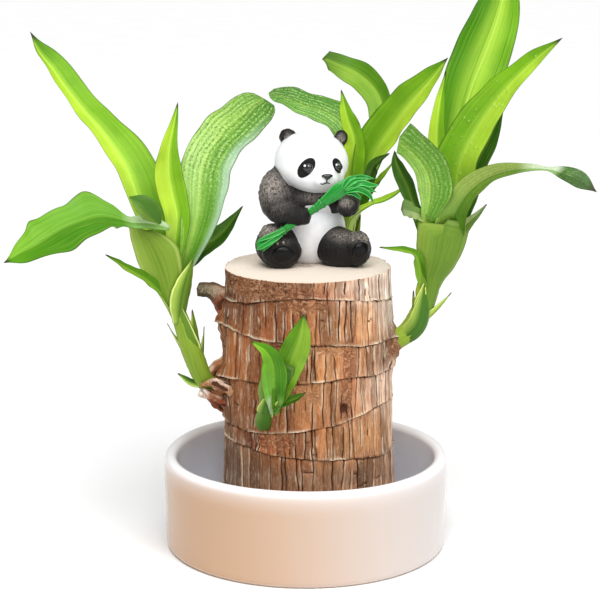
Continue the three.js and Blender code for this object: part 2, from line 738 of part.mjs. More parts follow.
function panda() {
  const parts = [
    ellipsoid([2, 9, 111], [13.5, 11.5, 13], [0, 0, 0], 16),
    ellipsoid([2, 8, 121], [11.5, 9, 8], [0, 0, 0], 12),
    ellipsoid([1.9, 8, 135.3], [13, 11.6, 10.4], [0, 6, 0], 18),
    ellipsoid([6.8, -1.8, 131.2], [5.6, 4.4, 4.2], [0, 0, 25], 10),
    ellipsoid([7.6, -5.8, 132.3], [2, 1.3, 1.5], [0, 0, 25], 8),
    ellipsoid([-6.3, 9.5, 143.6], [2.9, 2.1, 2.9], [0, 0, -10], 10),
    ellipsoid([12.3, 10, 143.2], [2.4, 2.1, 2.7], [0, 0, 30], 10),
    ellipsoid([-9.4, 1, 107], [8.2, 7.5, 7.6], [0, -20, 15], 12),
    ellipsoid([-8.2, -4, 105.6], [6.8, 4.2, 6], [0, 0, 10], 12),
    ellipsoid([11.5, 1.5, 106], [9.5, 7, 7.4], [0, 15, -20], 12),
    ellipsoid([18.3, -2.5, 106.2], [4.2, 5, 6.2], [0, 0, -25], 12),
  ];
  parts.push(limb({
    path: [
      [-6, 8, 128.5], [-10.8, 6.5, 124], [-11.5, 3, 118.5], [-7, -3.5, 116.8], [-1, -7, 118], [3, -7.6, 118.6],
    ],
    radii: [4.4, 4.6, 4.2, 3.8, 3.9, 2.2],
    steps: 10,
  }));
  parts.push(limb({
    path: [[8, 6, 126], [14, 3, 124.5], [16, -2, 122.5], [14.4, -7, 122.4], [13.6, -10.5, 123]],
    radii: [3.6, 3.9, 3.8, 3.9, 1.8],
    steps: 9,
  }));
  const whole = parts.reduce((sum, item) => sum.add(item));
  const floor = solid(new THREE.BoxGeometry(80, 80, 40).translate(0, 0, PANDA_BASE - 20));
  return mainBody(whole.subtract(floor).subtract(sprig(GAP)), 'panda');
}

addMesh('panda_figurine', panda(), resin());

export default group;
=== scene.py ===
"""Houseplant: a ringed log stump with four leafy shoots in a white bowl, and a panda figurine on top.

Shapes are worked out in millimetres and written to meshes in metres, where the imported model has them.
"""
import functools
import math

import bpy
import numpy as np
from mathutils import Euler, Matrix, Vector


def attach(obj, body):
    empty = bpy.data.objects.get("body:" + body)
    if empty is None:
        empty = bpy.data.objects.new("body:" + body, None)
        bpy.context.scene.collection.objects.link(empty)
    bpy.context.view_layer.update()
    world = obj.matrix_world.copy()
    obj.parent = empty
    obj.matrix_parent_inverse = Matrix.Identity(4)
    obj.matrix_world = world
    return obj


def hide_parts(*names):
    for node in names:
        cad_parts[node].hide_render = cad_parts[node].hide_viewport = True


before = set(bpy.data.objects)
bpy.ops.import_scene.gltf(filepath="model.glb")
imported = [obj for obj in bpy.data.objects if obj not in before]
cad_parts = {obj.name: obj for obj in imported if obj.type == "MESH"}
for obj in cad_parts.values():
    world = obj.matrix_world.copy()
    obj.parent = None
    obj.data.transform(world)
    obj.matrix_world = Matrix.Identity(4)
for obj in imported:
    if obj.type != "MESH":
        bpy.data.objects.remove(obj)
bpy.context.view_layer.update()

MM = 0.001
TAU = 2 * math.pi


# ---- Numbers: curves, noise and colours ----

def along(values, s):
    """Catmull-Rom values at places s in 0..1 of an evenly spaced list of numbers or vectors."""
    v = np.asarray(values, float).reshape(len(values), -1)
    last = max(len(v) - 1, 1)
    t = np.clip(s, 0, 1) * last
    i = np.minimum(t.astype(int), last - 1)
    f = (t - i)[:, None]
    a, b, c, d = (v[np.clip(i + k, 0, len(v) - 1)] for k in (-1, 0, 1, 2))
    return b + 0.5 * f * (c - a + f * (2 * a - 5 * b + 4 * c - d + f * (3 * (b - c) + d - a)))


def unit(v):
    return v / np.maximum(np.linalg.norm(v, axis=-1, keepdims=True), 1e-9)


def curve(path, s):
    """Points and tangents at even lengths s in 0..1 along a centripetal Catmull-Rom curve."""
    p = np.asarray(path, float)
    p = np.vstack([2 * p[0] - p[1], p, 2 * p[-1] - p[-2]])
    dense = []
    for a, b, c, d in zip(p, p[1:], p[2:], p[3:]):
        t1, t2, t3 = (max(np.linalg.norm(n - m), 1e-6) ** 0.5 for m, n in ((a, b), (b, c), (c, d)))
        m1 = ((b - a) / t1 - (c - a) / (t1 + t2) + (c - b) / t2) * t2
        m2 = ((c - b) / t2 - (d - b) / (t2 + t3) + (d - c) / t3) * t2
        f = np.linspace(0, 1, 41)[:-1, None]
        dense.append(b + f * m1 + f ** 2 * (3 * (c - b) - 2 * m1 - m2) + f ** 3 * (2 * (b - c) + m1 + m2))
    dense = np.vstack([*dense, p[-2:-1]])
    length = np.concatenate([[0], np.cumsum(np.linalg.norm(np.diff(dense, axis=0), axis=1))])
    at = np.clip(s, 0, 1) * length[-1]
    points = np.stack([np.interp(at, length, dense[:, k]) for k in range(3)], 1)
    return points, unit(np.gradient(points, axis=0))


def smoothstep(x, low, high):
    t = np.clip((x - low) / (high - low), 0, 1)
    return t * t * (3 - 2 * t)


def bell(x, width):
    """1 at 0, with a smooth fall on both sides."""
    return np.exp(-(x / width) ** 2)


@functools.lru_cache(None)
def table_of(seed, *size):
    return np.random.default_rng(seed).uniform(-1, 1, size)


def noise2(u, v, seed, wrap=512):
    """Smooth random values in -1..1 over cells of size 1. It repeats in u after wrap cells."""
    u, v = np.broadcast_arrays(u, v)
    table = table_of(seed, wrap, 256)
    i, j = np.floor(u).astype(int), np.floor(v).astype(int)
    fu, fv = smoothstep(u - i, 0, 1), smoothstep(v - j, 0, 1)
    left, right, above = i % wrap, (i + 1) % wrap, (j + 1) % 256
    low = table[left, j % 256] * (1 - fu) + table[right, j % 256] * fu
    high = table[left, above] * (1 - fu) + table[right, above] * fu
    return low * (1 - fv) + high * fv


def noise3(p, seed):
    """Smooth random values in -1..1 over points in space, with cells of size 1."""
    table = table_of(seed, 64, 64, 64)
    i = np.floor(p).astype(int)
    f = smoothstep(p - i, 0, 1)
    total = 0
    for corner in np.ndindex(2, 2, 2):
        weight = np.prod(np.where(corner, f, 1 - f), axis=1)
        total = total + weight * table[tuple(((i + corner) % 64).T)]
    return total


def linear(screen):
    """Linear light from 0..255 screen values."""
    c = np.clip(screen, 0, 255) / 255
    return np.where(c <= 0.04045, c / 12.92, ((c + 0.055) / 1.055) ** 2.4)


def colour(*rgb):
    return (*linear(rgb).tolist(), 1.0)


# ---- Meshes ----

class Shape:
    """Vertices in millimetres, faces, and named values for each vertex that materials read."""

    def __init__(self, *names):
        self.points, self.faces, self.looks = [], [], []
        self.values = {name: [] for name in names}
        self.count = 0

    def add(self, points, faces, look=0, **values):
        points = np.asarray(points, float).reshape(-1, 3)
        for face in faces:
            self.faces.extend((np.asarray(face) + self.count).tolist())
            self.looks.extend([look] * len(face))
        self.points.append(points)
        for name, parts in self.values.items():
            parts.append(np.broadcast_to(np.ravel(values.get(name, 0.0)), len(points)).astype(float))
        self.count += len(points)

    def piece(self, name, looks, slot, node):
        """The finished object. It rides on the frame and hides the CAD node."""
        mesh = bpy.data.meshes.new(name)
        mesh.from_pydata((np.vstack(self.points) * MM).tolist(), [], self.faces)
        for look in looks:
            mesh.materials.append(look)
        mesh.polygons.foreach_set("material_index", self.looks)
        mesh.polygons.foreach_set("use_smooth", [True] * len(mesh.polygons))
        for key, parts in self.values.items():
            layer = mesh.attributes.new(key, "FLOAT", "POINT")
            layer.data.foreach_set("value", np.concatenate(parts).astype(np.float32))
        mesh.update()
        piece = bpy.data.objects.new(name, mesh)
        bpy.context.scene.collection.objects.link(piece)
        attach(piece, "root")
        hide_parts(node)


def grid(rows, columns, wrap=False):
    """Quads of a grid of vertices, row after row."""
    i, j = np.meshgrid(np.arange(rows - 1), np.arange(columns if wrap else columns - 1), indexing="ij")
    a = (i * columns + j).ravel()
    b = (i * columns + (j + 1) % columns).ravel()
    return np.stack([a, b, b + columns, a + columns], 1)


def tube(path, radii, rings=24, sides=20, across=(1, 0, 0)):
    """A rounded body along a path. A radius is a number or (across, deep). Returns vertices and faces, and
    for each vertex its place along the path, the cosine of its angle round it, and the way out of it."""
    s = np.linspace(0, 1, rings)
    centre, tangent = curve(path, s)
    radius = along(radii, s)
    if radius.shape[1] == 1:
        radius = np.repeat(radius, 2, 1)
    deep = unit(np.cross(tangent, np.array(across, float)))
    side = np.cross(deep, tangent)
    angle = np.arange(sides) * TAU / sides
    points = (
        centre[:, None]
        + side[:, None] * (np.cos(angle)[None, :, None] * radius[:, None, :1])
        + deep[:, None] * (np.sin(angle)[None, :, None] * radius[:, None, 1:])
    )
    bulge = tangent * radius.min(1)[:, None] * 0.5
    points = np.vstack([points.reshape(-1, 3), centre[0] - bulge[0], centre[-1] + bulge[-1]])
    k = np.arange(sides)
    start, last = rings * sides, (rings - 1) * sides
    bottom = np.stack([np.full(sides, start), (k + 1) % sides, k], 1)
    top = np.stack([np.full(sides, start + 1), last + k, last + (k + 1) % sides], 1)
    places = np.concatenate([np.repeat(s, sides), [0, 1]])
    turns = np.concatenate([np.tile(np.cos(angle), rings), [0, 0]])
    outward = unit(points - np.vstack([np.repeat(centre, sides, 0), centre[[0, -1]]]))
    return points, [grid(rings, sides, True), bottom, top], places, turns, outward


def ball(centre, radii, degrees=(0, 0, 0), rows=14, columns=20):
    """Vertices and faces of a closed ellipsoid."""
    tilt = np.linspace(0.02, math.pi - 0.02, rows)[:, None]
    spin = (np.arange(columns) * TAU / columns)[None]
    points = np.stack([np.sin(tilt) * np.cos(spin), np.sin(tilt) * np.sin(spin), np.cos(tilt) + 0 * spin], 2)
    last = (rows - 1) * columns
    ends = [[list(range(columns)), list(range(last, last + columns))[::-1]]]
    points = (points.reshape(-1, 3) * radii) @ turned(degrees).T + np.array(centre)
    return points, [grid(rows, columns, True)[:, ::-1], *ends]


def turned(degrees):
    """The matrix of a turn about x, y and z."""
    return np.array(Euler([math.radians(a) for a in degrees]).to_matrix())


# ---- Materials ----

class Value:
    """A socket of a material's node tree. Sums, products and steps of values are nodes too."""

    def __init__(self, look, socket):
        self.look, self.socket = look, socket

    def math(self, operation, other=0.0):
        return self.look.add("ShaderNodeMath", {0: self, 1: other}, operation=operation)

    def __add__(self, other):
        return self.math("ADD", other)

    def __sub__(self, other):
        return self.math("SUBTRACT", other)

    def __mul__(self, other):
        return self.math("MULTIPLY", other)

    def __abs__(self):
        return self.math("ABSOLUTE")

    def span(self, low, high, to_low=0.0, to_high=1.0):
        """The value mapped smoothly from low..high to another range."""
        inputs = {"Value": self, "From Min": low, "From Max": high, "To Min": to_low, "To Max": to_high}
        return self.look.add("ShaderNodeMapRange", inputs, "Result", interpolation_type="SMOOTHSTEP")


class Look:
    """A Principled material, built node by node. Its tint is painted over in steps."""

    def __init__(self, name, **settings):
        self.material = bpy.data.materials.new(name)
        self.material.use_nodes = True
        self.tree = self.material.node_tree
        self.shader = self.tree.nodes["Principled BSDF"]
        self.tint = None
        for key, value in settings.items():
            self.shader.inputs[key.replace("_", " ")].default_value = value

    def add(self, kind, inputs, output=0, **settings):
        """An output of a new node."""
        node = self.tree.nodes.new(kind)
        for key, value in settings.items():
            setattr(node, key, value)
        for key, value in inputs.items():
            self.feed(node.inputs[key], value)
        return Value(self, node.outputs[output])

    def feed(self, socket, value):
        if isinstance(value, Value):
            self.tree.links.new(value.socket, socket)
        else:
            socket.default_value = value

    def value(self, name):
        return self.add("ShaderNodeAttribute", {}, "Fac", attribute_name=name)

    def place(self, x=1.0, y=1.0, z=1.0):
        """Object coordinates in millimetres, stretched along each axis."""
        where = self.add("ShaderNodeTexCoord", {}, "Object")
        return self.add("ShaderNodeMapping", {"Vector": where, "Scale": (x / MM, y / MM, z / MM)}, "Vector")

    def join(self, x, y, z):
        return self.add("ShaderNodeCombineXYZ", {"X": x, "Y": y, "Z": z}, "Vector")

    def noise(self, where, scale, detail=4.0, roughness=0.55, distortion=0.0):
        inputs = {"Vector": where, "Scale": scale, "Detail": detail, "Roughness": roughness}
        return self.add("ShaderNodeTexNoise", {**inputs, "Distortion": distortion}, "Fac")

    def veins(self, crowding, stretch, detail=4.0, roughness=0.6, distortion=0.0, scale=1.0):
        """Noise in streaks along a blade or stalk, by its across, place and tone values."""
        where = self.join(self.value("across") * crowding, self.value("place") * stretch, self.value("tone"))
        return self.noise(where, scale, detail, roughness, distortion)

    def cells(self, scale):
        """Distance to the nearest of many dots scattered over the piece."""
        return self.add("ShaderNodeTexVoronoi", {"Vector": self.place(), "Scale": scale}, "Distance")

    def ramp(self, fac, *stops):
        """A colour ramp. A stop is its place and a red, green and blue of 0..255."""
        ramp = self.add("ShaderNodeValToRGB", {"Fac": fac}, "Color")
        elements = ramp.socket.node.color_ramp.elements
        while len(elements) < len(stops):
            elements.new(0.5)
        for element, (position, *rgb) in zip(elements, stops):
            element.position, element.color = position, colour(*rgb)
        return ramp

    def mix(self, fac, a, b, blend="MIX"):
        return self.add("ShaderNodeMix", {"Factor": fac, 6: a, 7: b}, 2, data_type="RGBA", blend_type=blend)

    def over(self, fac, *rgb):
        """Paints a colour of 0..255 over the tint."""
        self.tint = self.mix(fac, self.tint, colour(*rgb))

    def shade(self, fac, *rgb):
        """Multiplies the tint by a colour of 0..255."""
        self.tint = self.mix(fac, self.tint, colour(*rgb), "MULTIPLY")

    def bump(self, height, strength, distance, normal=None):
        inputs = {"Height": height, "Strength": strength, "Distance": distance * MM}
        if normal:
            inputs["Normal"] = normal
        return self.add("ShaderNodeBump", inputs, "Normal")

    def done(self, roughness, normal=None):
        self.feed(self.shader.inputs["Base Color"], self.tint)
        self.feed(self.shader.inputs["Roughness"], roughness)
        if normal:
            self.feed(self.shader.inputs["Normal"], normal)
        return self.material


def glaze_look():
    """White glaze, bare at the foot. The outside is off-white, painted darker and, on the left, tan: partly
    the glaze's tint and partly painted shade and warm reflection. Inside has a painted bluish cast of shade.
    """
    look = Look("white_glaze", Coat_Weight=0.3, Coat_Roughness=0.06, Specular_IOR_Level=0.45)
    cloud = look.noise(look.place(), 0.035, 3.0)
    speck = look.noise(look.place(), 1.6, 2.0, 0.6)
    ripple = look.noise(look.place(1, 1, 1.6), 0.09, 2.0)
    bare = look.value("bare")
    white = look.ramp(cloud, (0.3, 248, 246, 246), (0.7, 240, 237, 238))
    # Inside: white with a bluish cast, painted to stand in for the bluish shade inside the bowl.
    painted_cool_cast = look.ramp(cloud, (0.3, 240, 245, 255), (0.7, 236, 241, 253))
    # Outside: darker than the rim, tan on the left by lean: part glaze tint, part painted shade and warm
    # reflection.
    outside_tone_and_painted_shade = look.mix(look.value("lean"), colour(204, 195, 190), colour(190, 152, 119))
    look.tint = look.mix(look.value("outside"), look.mix(look.value("inside"), white, painted_cool_cast), outside_tone_and_painted_shade)
    look.over(speck.span(0.72, 0.8, 0, 0.25), 206, 184, 164)
    look.over(bare, 204, 178, 152)
    return look.done(bare.span(0, 1, 0.13, 0.7), look.bump(ripple, 0.25, 0.6))


def bark_look():
    """Weathered bark: flat plates in their own tones, split by thin dark cracks that are partly painted
    shade, with matted fibre, and painted highlights on the ring lips and crack edges.
    """
    look = Look("bark", Specular_IOR_Level=0.2)
    tone = look.join(look.value("red"), look.value("green"), look.value("blue"))
    matted = look.value("matted")
    fibre = look.noise(look.place(1, 1, 0.1), 1.3, 5.0, 0.65, 0.3)
    grain = look.noise(look.place(1, 1, 0.25), 2.6, 4.0, 0.65)
    tangle = look.noise(look.place(0.7, 0.7, 1.1), 0.42, 5.0, 0.75, 3.2)
    blotch = look.noise(look.place(1, 1, 0.6), 0.2, 4.0, 0.6)
    look.tint = tone
    look.shade(fibre.span(0.4, 0.64, 0, 0.65), 178, 146, 122)
    look.shade(blotch.span(0.48, 0.68, 0, 0.4), 224, 198, 180)
    look.over(grain.span(0.52, 0.74, 0, 0.36), 246, 220, 190)
    knotty = look.ramp(tangle, (0.4, 70, 38, 22), (0.52, 150, 100, 66), (0.66, 226, 184, 144))
    look.tint = look.mix(matted, look.tint, look.mix(0.65, tone, knotty))
    # Painted highlights: ring lips, the edges beside the cracks, and the crests of the limbs' ribs.
    look.over(look.value("lip") * grain.span(0.3, 0.6, 0.35, 1), 255, 236, 206)
    # Cracks, partly inner bark and partly painted shade; also painted shadow under ring ledges, in the hole
    # and grooves.
    crack = (look.value("crack") + grain * 0.3).span(0.34, 0.8)
    look.tint = look.mix(crack, look.tint, look.ramp(grain, (0.3, 52, 26, 14), (0.7, 96, 54, 32)))
    height = fibre * 0.5 + grain * 0.3 + tangle * matted
    return look.done(fibre.span(0.3, 0.7, 0.6, 0.85), look.bump(height, 0.8, 0.5))


def cut_look():
    """The sawn end: pale wood with faint growth rings, rays and saw marks."""
    look = Look("cut_wood", Specular_IOR_Level=0.25)
    radius = look.value("radius")
    wobble = look.noise(look.place(), 0.12, 3.0)
    rings = ((radius * 1.15 + wobble * 5) * 2.6).math("SINE")
    fibre = look.noise(look.place(), 3.2, 5.0, 0.7)
    saw = look.noise(look.place(0.1, 1.4, 1), 1.1, 3.0)
    look.tint = look.ramp(fibre, (0.3, 230, 213, 197), (0.7, 238, 226, 214))
    look.over(rings.span(0.2, 1, 0, 0.22), 232, 204, 176)
    look.over(radius.span(27.6, 29.4, 0, 0.6), 222, 184, 150)
    return look.done(0.7, look.bump(fibre + saw, 0.35, 0.25))


def leaf_look(name, stops, under=(170, 200, 92), rough=0.42, rib=0.5, band=0.38, stripes=0.3, relief=0.0,
              pattern=1.0, sheen=0.0, beads=0.0):
    """A strap leaf coloured along its length by stops, with one half painted darker as shade,
    fine veins, and a pale midrib with pale stripes beside it, partly its own colour and partly a
    painted highlight along the fold. band is how wide those stripes reach, relief is how deep its
    puckers are and pattern how strongly they are painted with highlights on the crests and shade in
    the dips, sheen paints a pale reflection on its right half, and beads is the height of its water
    drops, whose middles are painted as highlights."""
    look = Look(f"leaf_{name}", Specular_IOR_Level=0.12 + 0.2 * bool(relief))
    across, place = look.value("across"), look.value("place")
    wide = abs(across)
    streak = look.veins(9, 1.6)
    fine = look.veins(34, 3, 3.0)
    cloud = look.noise(look.place(), 0.07, 3.0)
    look.tint = look.ramp(place, *stops)
    # One half painted darker as shade, as if the fold were lit from one side.
    look.shade(across.span(-0.15, 0.12, 0, 0.85), 150, 194, 96)
    look.shade(streak.span(0.4, 0.66, 0, stripes), 170, 200, 120)
    look.shade(cloud.span(0.42, 0.66, 0, 0.35), 190, 216, 150)
    look.over(fine.span(0.5, 0.75, 0, 0.2), 206, 236, 90)
    # Pale midrib and stripes beside it: partly the rib's own colour, partly a painted highlight along the
    # fold.
    look.over(wide.span(0, band, rib, 0) * streak.span(0.36, 0.56, 0.4, 1), 204, 240, 84)
    look.over(wide.span(0, 0.05, rib * 0.4, 0), 222, 248, 140)
    look.over(look.value("under") * 0.8, *under)
    normal = look.bump(streak * 0.8 + fine * 0.3, 0.4, 0.3)
    if relief:
        pleats = (across * 30 + look.veins(2, 5, 2.0, 0.55) * 9).math("SINE")
        pucker = look.veins(12, 96, 4.0, 0.6, 0.6) + pleats * 0.09
        normal = look.bump(pucker, relief, 0.8, normal)
        upper = place.span(0.25, 0.6, 0.1, 1)
        # The pucker crests painted pale as highlights and the dips dark as shade.
        look.over(pucker.span(0.54, 0.66, 0, 0.5 * pattern) * upper, 204, 230, 146)
        look.over(pucker.span(0.48, 0.34, 0, 0.7 * pattern) * upper, 58, 104, 30)
    if sheen:
        # A painted pale reflection on the right half.
        look.over(across.span(0.5, 0.95) * place.span(0.95, 0.6) * sheen, 190, 214, 196)
    if beads:
        drop = look.cells(0.4)
        film = look.noise(look.place(), 0.16, 2.0).span(0.42, 0.62)
        normal = look.bump(drop.span(0.44, 0.05) * film, beads, 0.5, normal)
        # The middles of the drops painted pale as highlights.
        look.over(drop.span(0.2, 0.04, 0, 0.4) * film, 220, 242, 160)
    look.over((wide + (cloud - 0.5) * 0.1).span(0.92, 1, 0, 0.8), 62, 88, 28)
    look.over((place + (fine - 0.5) * 0.06).span(0.95, 0.99) * look.value("dry"), 50, 54, 26)
    return look.done(streak.span(0.3, 0.7, rough - 0.06, rough + 0.1), normal)


def stem_look():
    """Stems and sheaths: green to yellow-green, with one side painted paler as light, pale rims, dark edges
    and fine ribs along them.
    """
    look = Look("shoot_stem", Specular_IOR_Level=0.15)
    across, sheath = look.value("across"), look.value("sheath")
    wide = abs(across)
    streak = look.veins(12, 1.4)
    look.tint = look.mix(look.value("tone"), colour(70, 112, 34), colour(180, 200, 66))
    look.shade(streak.span(0.4, 0.66, 0, 0.4), 170, 196, 120)
    # One side of each stem and sheath painted paler, as the light falling on it.
    look.over(across.span(-0.1, -0.75, 0, 0.5) * sheath.span(0, 0.6, 0.3, 1), 196, 222, 96)
    look.over(wide.span(0.76, 0.86) * wide.span(0.97, 0.9) * sheath * 0.7, 232, 242, 150)
    look.over(wide.span(0.93, 0.99) * sheath * 0.75, 62, 84, 28)
    look.over(look.value("place").span(0.86, 0.98) * sheath * look.value("dry"), 70, 48, 28)
    return look.done(0.45, look.bump(streak, 0.4, 0.35))


def panda_look():
    """Hand-painted resin: smooth white with painted shade in the creases, and black with raised fur that is
    dry-brushed grey on the tops where light falls, partly paint and partly a painted highlight.
    """
    look = Look("painted_resin", Specular_IOR_Level=0.22)
    dark = look.value("black").span(0.42, 0.58)
    fur = look.noise(look.place(1, 1, 0.5), 2.1, 5.0, 0.7, 0.3)
    cloud = look.noise(look.place(), 0.25, 3.0)
    look.tint = look.ramp(cloud, (0.3, 236, 236, 238), (0.7, 250, 250, 250))
    # Painted shade: the white greyed in the creases beside the black parts and below the chest.
    look.over(look.value("painted_hollow_shade"), 170, 170, 176)
    # Grey on the fur crests where light falls: partly dry-brushed paint, partly a painted highlight.
    least_brush = 0.012
    brushed = fur.span(0.36, 0.58) * (look.value("brush_and_highlight") + least_brush)
    look.tint = look.mix(dark, look.tint, look.mix(brushed, colour(9, 8, 9), colour(190, 178, 168)))
    return look.done(dark.span(0, 1, 0.42, 0.34), look.bump(fur * dark.span(0, 1, 0.08, 1), 0.7, 0.55))


def gloss_look(name, tint, paler, rough, coat=0.6):
    """Small glossy parts: eyes, nose, claws, soles and painted lines."""
    look = Look(name, Specular_IOR_Level=0.2 + 0.5 * coat, Coat_Weight=coat, Coat_Roughness=0.05)
    look.tint = look.ramp(look.noise(look.place(), 1.4, 2.0), (0.35, *tint), (0.75, *paler))
    return look.done(rough)


def sprig_look():
    """Moulded green plastic: dark in the middle of each blade, with painted highlights on the rims and darker
    joints.
    """
    look = Look("green_plastic", Specular_IOR_Level=0.4, Coat_Weight=0.1, Coat_Roughness=0.12)
    streak = look.veins(6, 1, 3.0, 0.55, scale=1.4)
    look.tint = look.ramp(streak, (0.3, 4, 92, 24), (0.7, 24, 158, 46))
    # Painted highlights along the rims of the blades and the sides of the stalk.
    look.over(abs(look.value("across")).span(0.6, 0.95, 0, 0.8), 112, 232, 118)
    look.over(look.value("joint"), 6, 80, 24)
    return look.done(0.26, look.bump(streak, 0.4, 0.35))


# ---- Bowl ----

BOWL_SIDES = 240
# Where along the profile, by point, the inner colour ends, and the outer one starts and ends.
INSIDE_END, OUTSIDE_START, OUTSIDE_END = (16, 26), (34, 44), (58, 62)
BARE_START = 60


def bowl_profile():
    """Radius and height from the middle of the inside, over the rim, to the middle of the underside."""
    profile = [(0, 4), (18, 4), (30, 4), (36.4, 4)]
    profile += [(36.4 + 8 * math.sin(a), 12 - 8 * math.cos(a)) for a in np.linspace(0.1, math.pi / 2, 9)]
    profile += [(44.4 + (z - 12) / 19.2, z) for z in np.linspace(14, 30.2, 9)]
    profile += [(47.7 - 2.3 * math.cos(a), 31.2 + 2.3 * math.sin(a)) for a in np.linspace(0, math.pi, 19)]
    profile += [(50 - 0.6 * (31.2 - z) / 29, z) for z in np.linspace(30, 3.4, 16)]
    profile += [(49.4, 2.2), (49.28, 1.4), (48.9, 0.7), (48.2, 0.2), (47.2, 0)]
    profile += [(44, 0), (43.4, 0.5), (42.8, 0.8), (20, 0.8), (0, 0.8)]
    return np.array(profile)


def bowl():
    """A lathe-turned wall with a hand-dipped glaze, so that its rim and wall are not quite even."""
    profile = bowl_profile()
    angle = np.arange(BOWL_SIDES) * TAU / BOWL_SIDES
    radius, height = profile[:, :1], profile[:, 1:]
    uneven = 0.1 * np.sin(2 * angle + 1.3) + 0.06 * np.sin(5 * angle) + 0.04 * np.sin(9 * angle + 2)
    raised = smoothstep(height, 6, 30) * (radius > 20)
    radius = radius * (1 + 0 * angle) - np.abs(uneven) * raised * 0.6
    height = height + raised * 0.12 * np.sin(3 * angle + 0.8)
    points = np.stack([np.cos(angle) * radius, np.sin(angle) * radius, height], 2)
    order = np.arange(len(profile))[:, None] + 0 * angle
    # The tan side is on the left, and it fades towards the back: painted warm reflection and shade.
    lean = smoothstep(np.cos(angle - math.radians(200)), -0.75, 1.0) * smoothstep(-np.sin(angle), -0.6, 0.1)
    shape = Shape("outside", "inside", "lean", "bare")
    shape.add(points, [grid(len(profile), BOWL_SIDES, True)[:, ::-1]],
              outside=smoothstep(order, *OUTSIDE_START) * (1 - smoothstep(order, *OUTSIDE_END)),
              inside=1 - smoothstep(order, *INSIDE_END), lean=lean + 0 * order, bare=order >= BARE_START)
    shape.piece("bowl_glazed", [glaze_look()], "white_glaze", "bowl")


# ---- Log ----

LOG_TOP, LOG_BOTTOM = 100.0, 4.15
# The trunk tapers and leans from this height up to its top.
LOG_FOOT = 4.3
LOG_FOOT_X, LOG_TOP_X = 1.3, 0.7
LOG_RADIUS, LOG_TAPER = 30.2, 0.9
LOG_AROUND = TAU * 29.5
LOG_COLUMNS = 500
LOG_ROW_GAP = 0.52
# Angles round the trunk of its palest side, which faces the light, and of the side with the narrowest plates.
PALE_SIDE, FINE_SIDE = 6.0, 5.7
PLATE_WIDTHS = (1.6, 5.2)
# Shares of the cracks that run down a whole band, and of the plates that are split crosswise.
WHOLE_CRACKS, SPLIT_PLATES = 0.72, 0.14
CRACK_REACH, CRACK_DEPTH = 0.23, 0.9
# Growth rings: height, tilt, the angle it tilts towards, and a second wave with its own angle.
RINGS = [(91.6, 0.6, 4.4, 2.4, 4.8), (78.2, 2.2, 3.4, 0, 0), (63.6, 2.6, 5.3, 0, 0),
         (49.3, 3.6, 5.9, -1.6, 4.4), (38.6, 2.6, 3.4, 0, 0), (22, 1.2, 5, 0, 0)]
# Knots: angle, height, how far each stands out, and its reach round the trunk and up it.
KNOTS = [(3.22, 57, 6.2, 5.6, 6.5), (3.14, 81, 2.4, 5, 7), (6.12, 73, 3.4, 6, 5.5),
         (4.19, 50, 1.8, 5, 5), (1.05, 86, 2.6, 6, 6)]

# Bark tones, as red, green and blue.
BARK = {
    "umber": (84, 46, 26), "brown": (152, 96, 56), "rust": (146, 68, 38), "tan": (188, 138, 92),
    "pale": (242, 228, 218), "grey": (144, 124, 108), "sand": (168, 122, 86), "moss": (34, 52, 20),
}

# Patches of other bark: tone, angle, height, reach round the trunk and up it in mm, strength.
PATCHES = [
    ("umber", 3.9, 97, 24, 5.0, 0.95), ("umber", 3.6, 88, 14, 8, 0.5), ("rust", 4.9, 95, 9, 3, 0.5),
    ("rust", 4.4, 84, 8, 6, 0.35), ("pale", 5.9, 88, 10, 8, 0.9), ("pale", 5.6, 98, 16, 8, 0.9),
    ("tan", 5.4, 84, 8, 6, 0.7), ("tan", 5.0, 71, 6, 8, 0.8), ("rust", 5.2, 68, 2.5, 12, 0.6),
    ("pale", 5.7, 60, 9, 9, 0.6), ("umber", 5.95, 74, 7, 5, 0.95), ("tan", 4.7, 60, 6, 7, 0.6),
    ("rust", 4.12, 43.5, 5.5, 3, 0.95), ("rust", 4.5, 44.5, 4, 2, 0.7), ("tan", 5.4, 44, 15, 6, 0.9),
    ("grey", 3.55, 34, 11, 13, 0.9), ("grey", 4.6, 27, 60, 9, 0.6), ("rust", 3.2, 58, 6, 6, 0.5),
    ("umber", 1.9, 90, 16, 8, 0.5), ("tan", 1.2, 66, 13, 12, 0.6), ("rust", 1.05, 87, 6, 6, 0.6),
    ("grey", 1.6, 34, 18, 9, 0.7), ("pale", 0.3, 58, 9, 14, 0.5), ("sand", 2.4, 55, 12, 12, 0.5),
]

# Matted fibre that covers the cracks: angle, height, reach round the trunk and up it in mm, strength.
MATTED = [
    (4.1, 97, 24, 4.2, 1.0), (5.19, 66, 2.8, 14, 0.9), (5.0, 77, 9, 2.6, 0.9), (4.75, 62, 5, 8, 0.6),
    (4.3, 45, 9, 4, 0.9), (6.05, 73, 7, 5, 1.0), (4.7, 91, 12, 2.2, 0.8), (3.2, 57, 7, 8, 0.8),
    (1.05, 86, 8, 7, 0.9), (2.1, 70, 5, 12, 0.8), (1.6, 48, 12, 3, 0.7), (0.5, 92, 12, 4, 0.7),
]
# A small deep hole in the bark, in the same form, painted dark inside as shade.
HOLES = [(5.146, 56, 1.5, 1.8, 1.0)]


def ring_height(ring, angle):
    height, tilt, towards, wave, wave_towards = ring
    level = height + tilt * np.cos(angle - towards) + wave * np.cos(2 * (angle - wave_towards))
    return level + 0.3 * np.sin(5 * angle + height)


def turn(angle, towards):
    """Millimetres round the trunk from one angle to another."""
    return (np.mod(angle - towards + math.pi, TAU) - math.pi) * LOG_AROUND / TAU


def spots(table, angle, z):
    """How strongly each of a table's soft spots covers the places, one spot after another."""
    for *_, towards, height, wide, tall, strength in table:
        yield strength * np.exp(-(turn(angle, towards) / wide) ** 2 - ((z - height) / tall) ** 2)


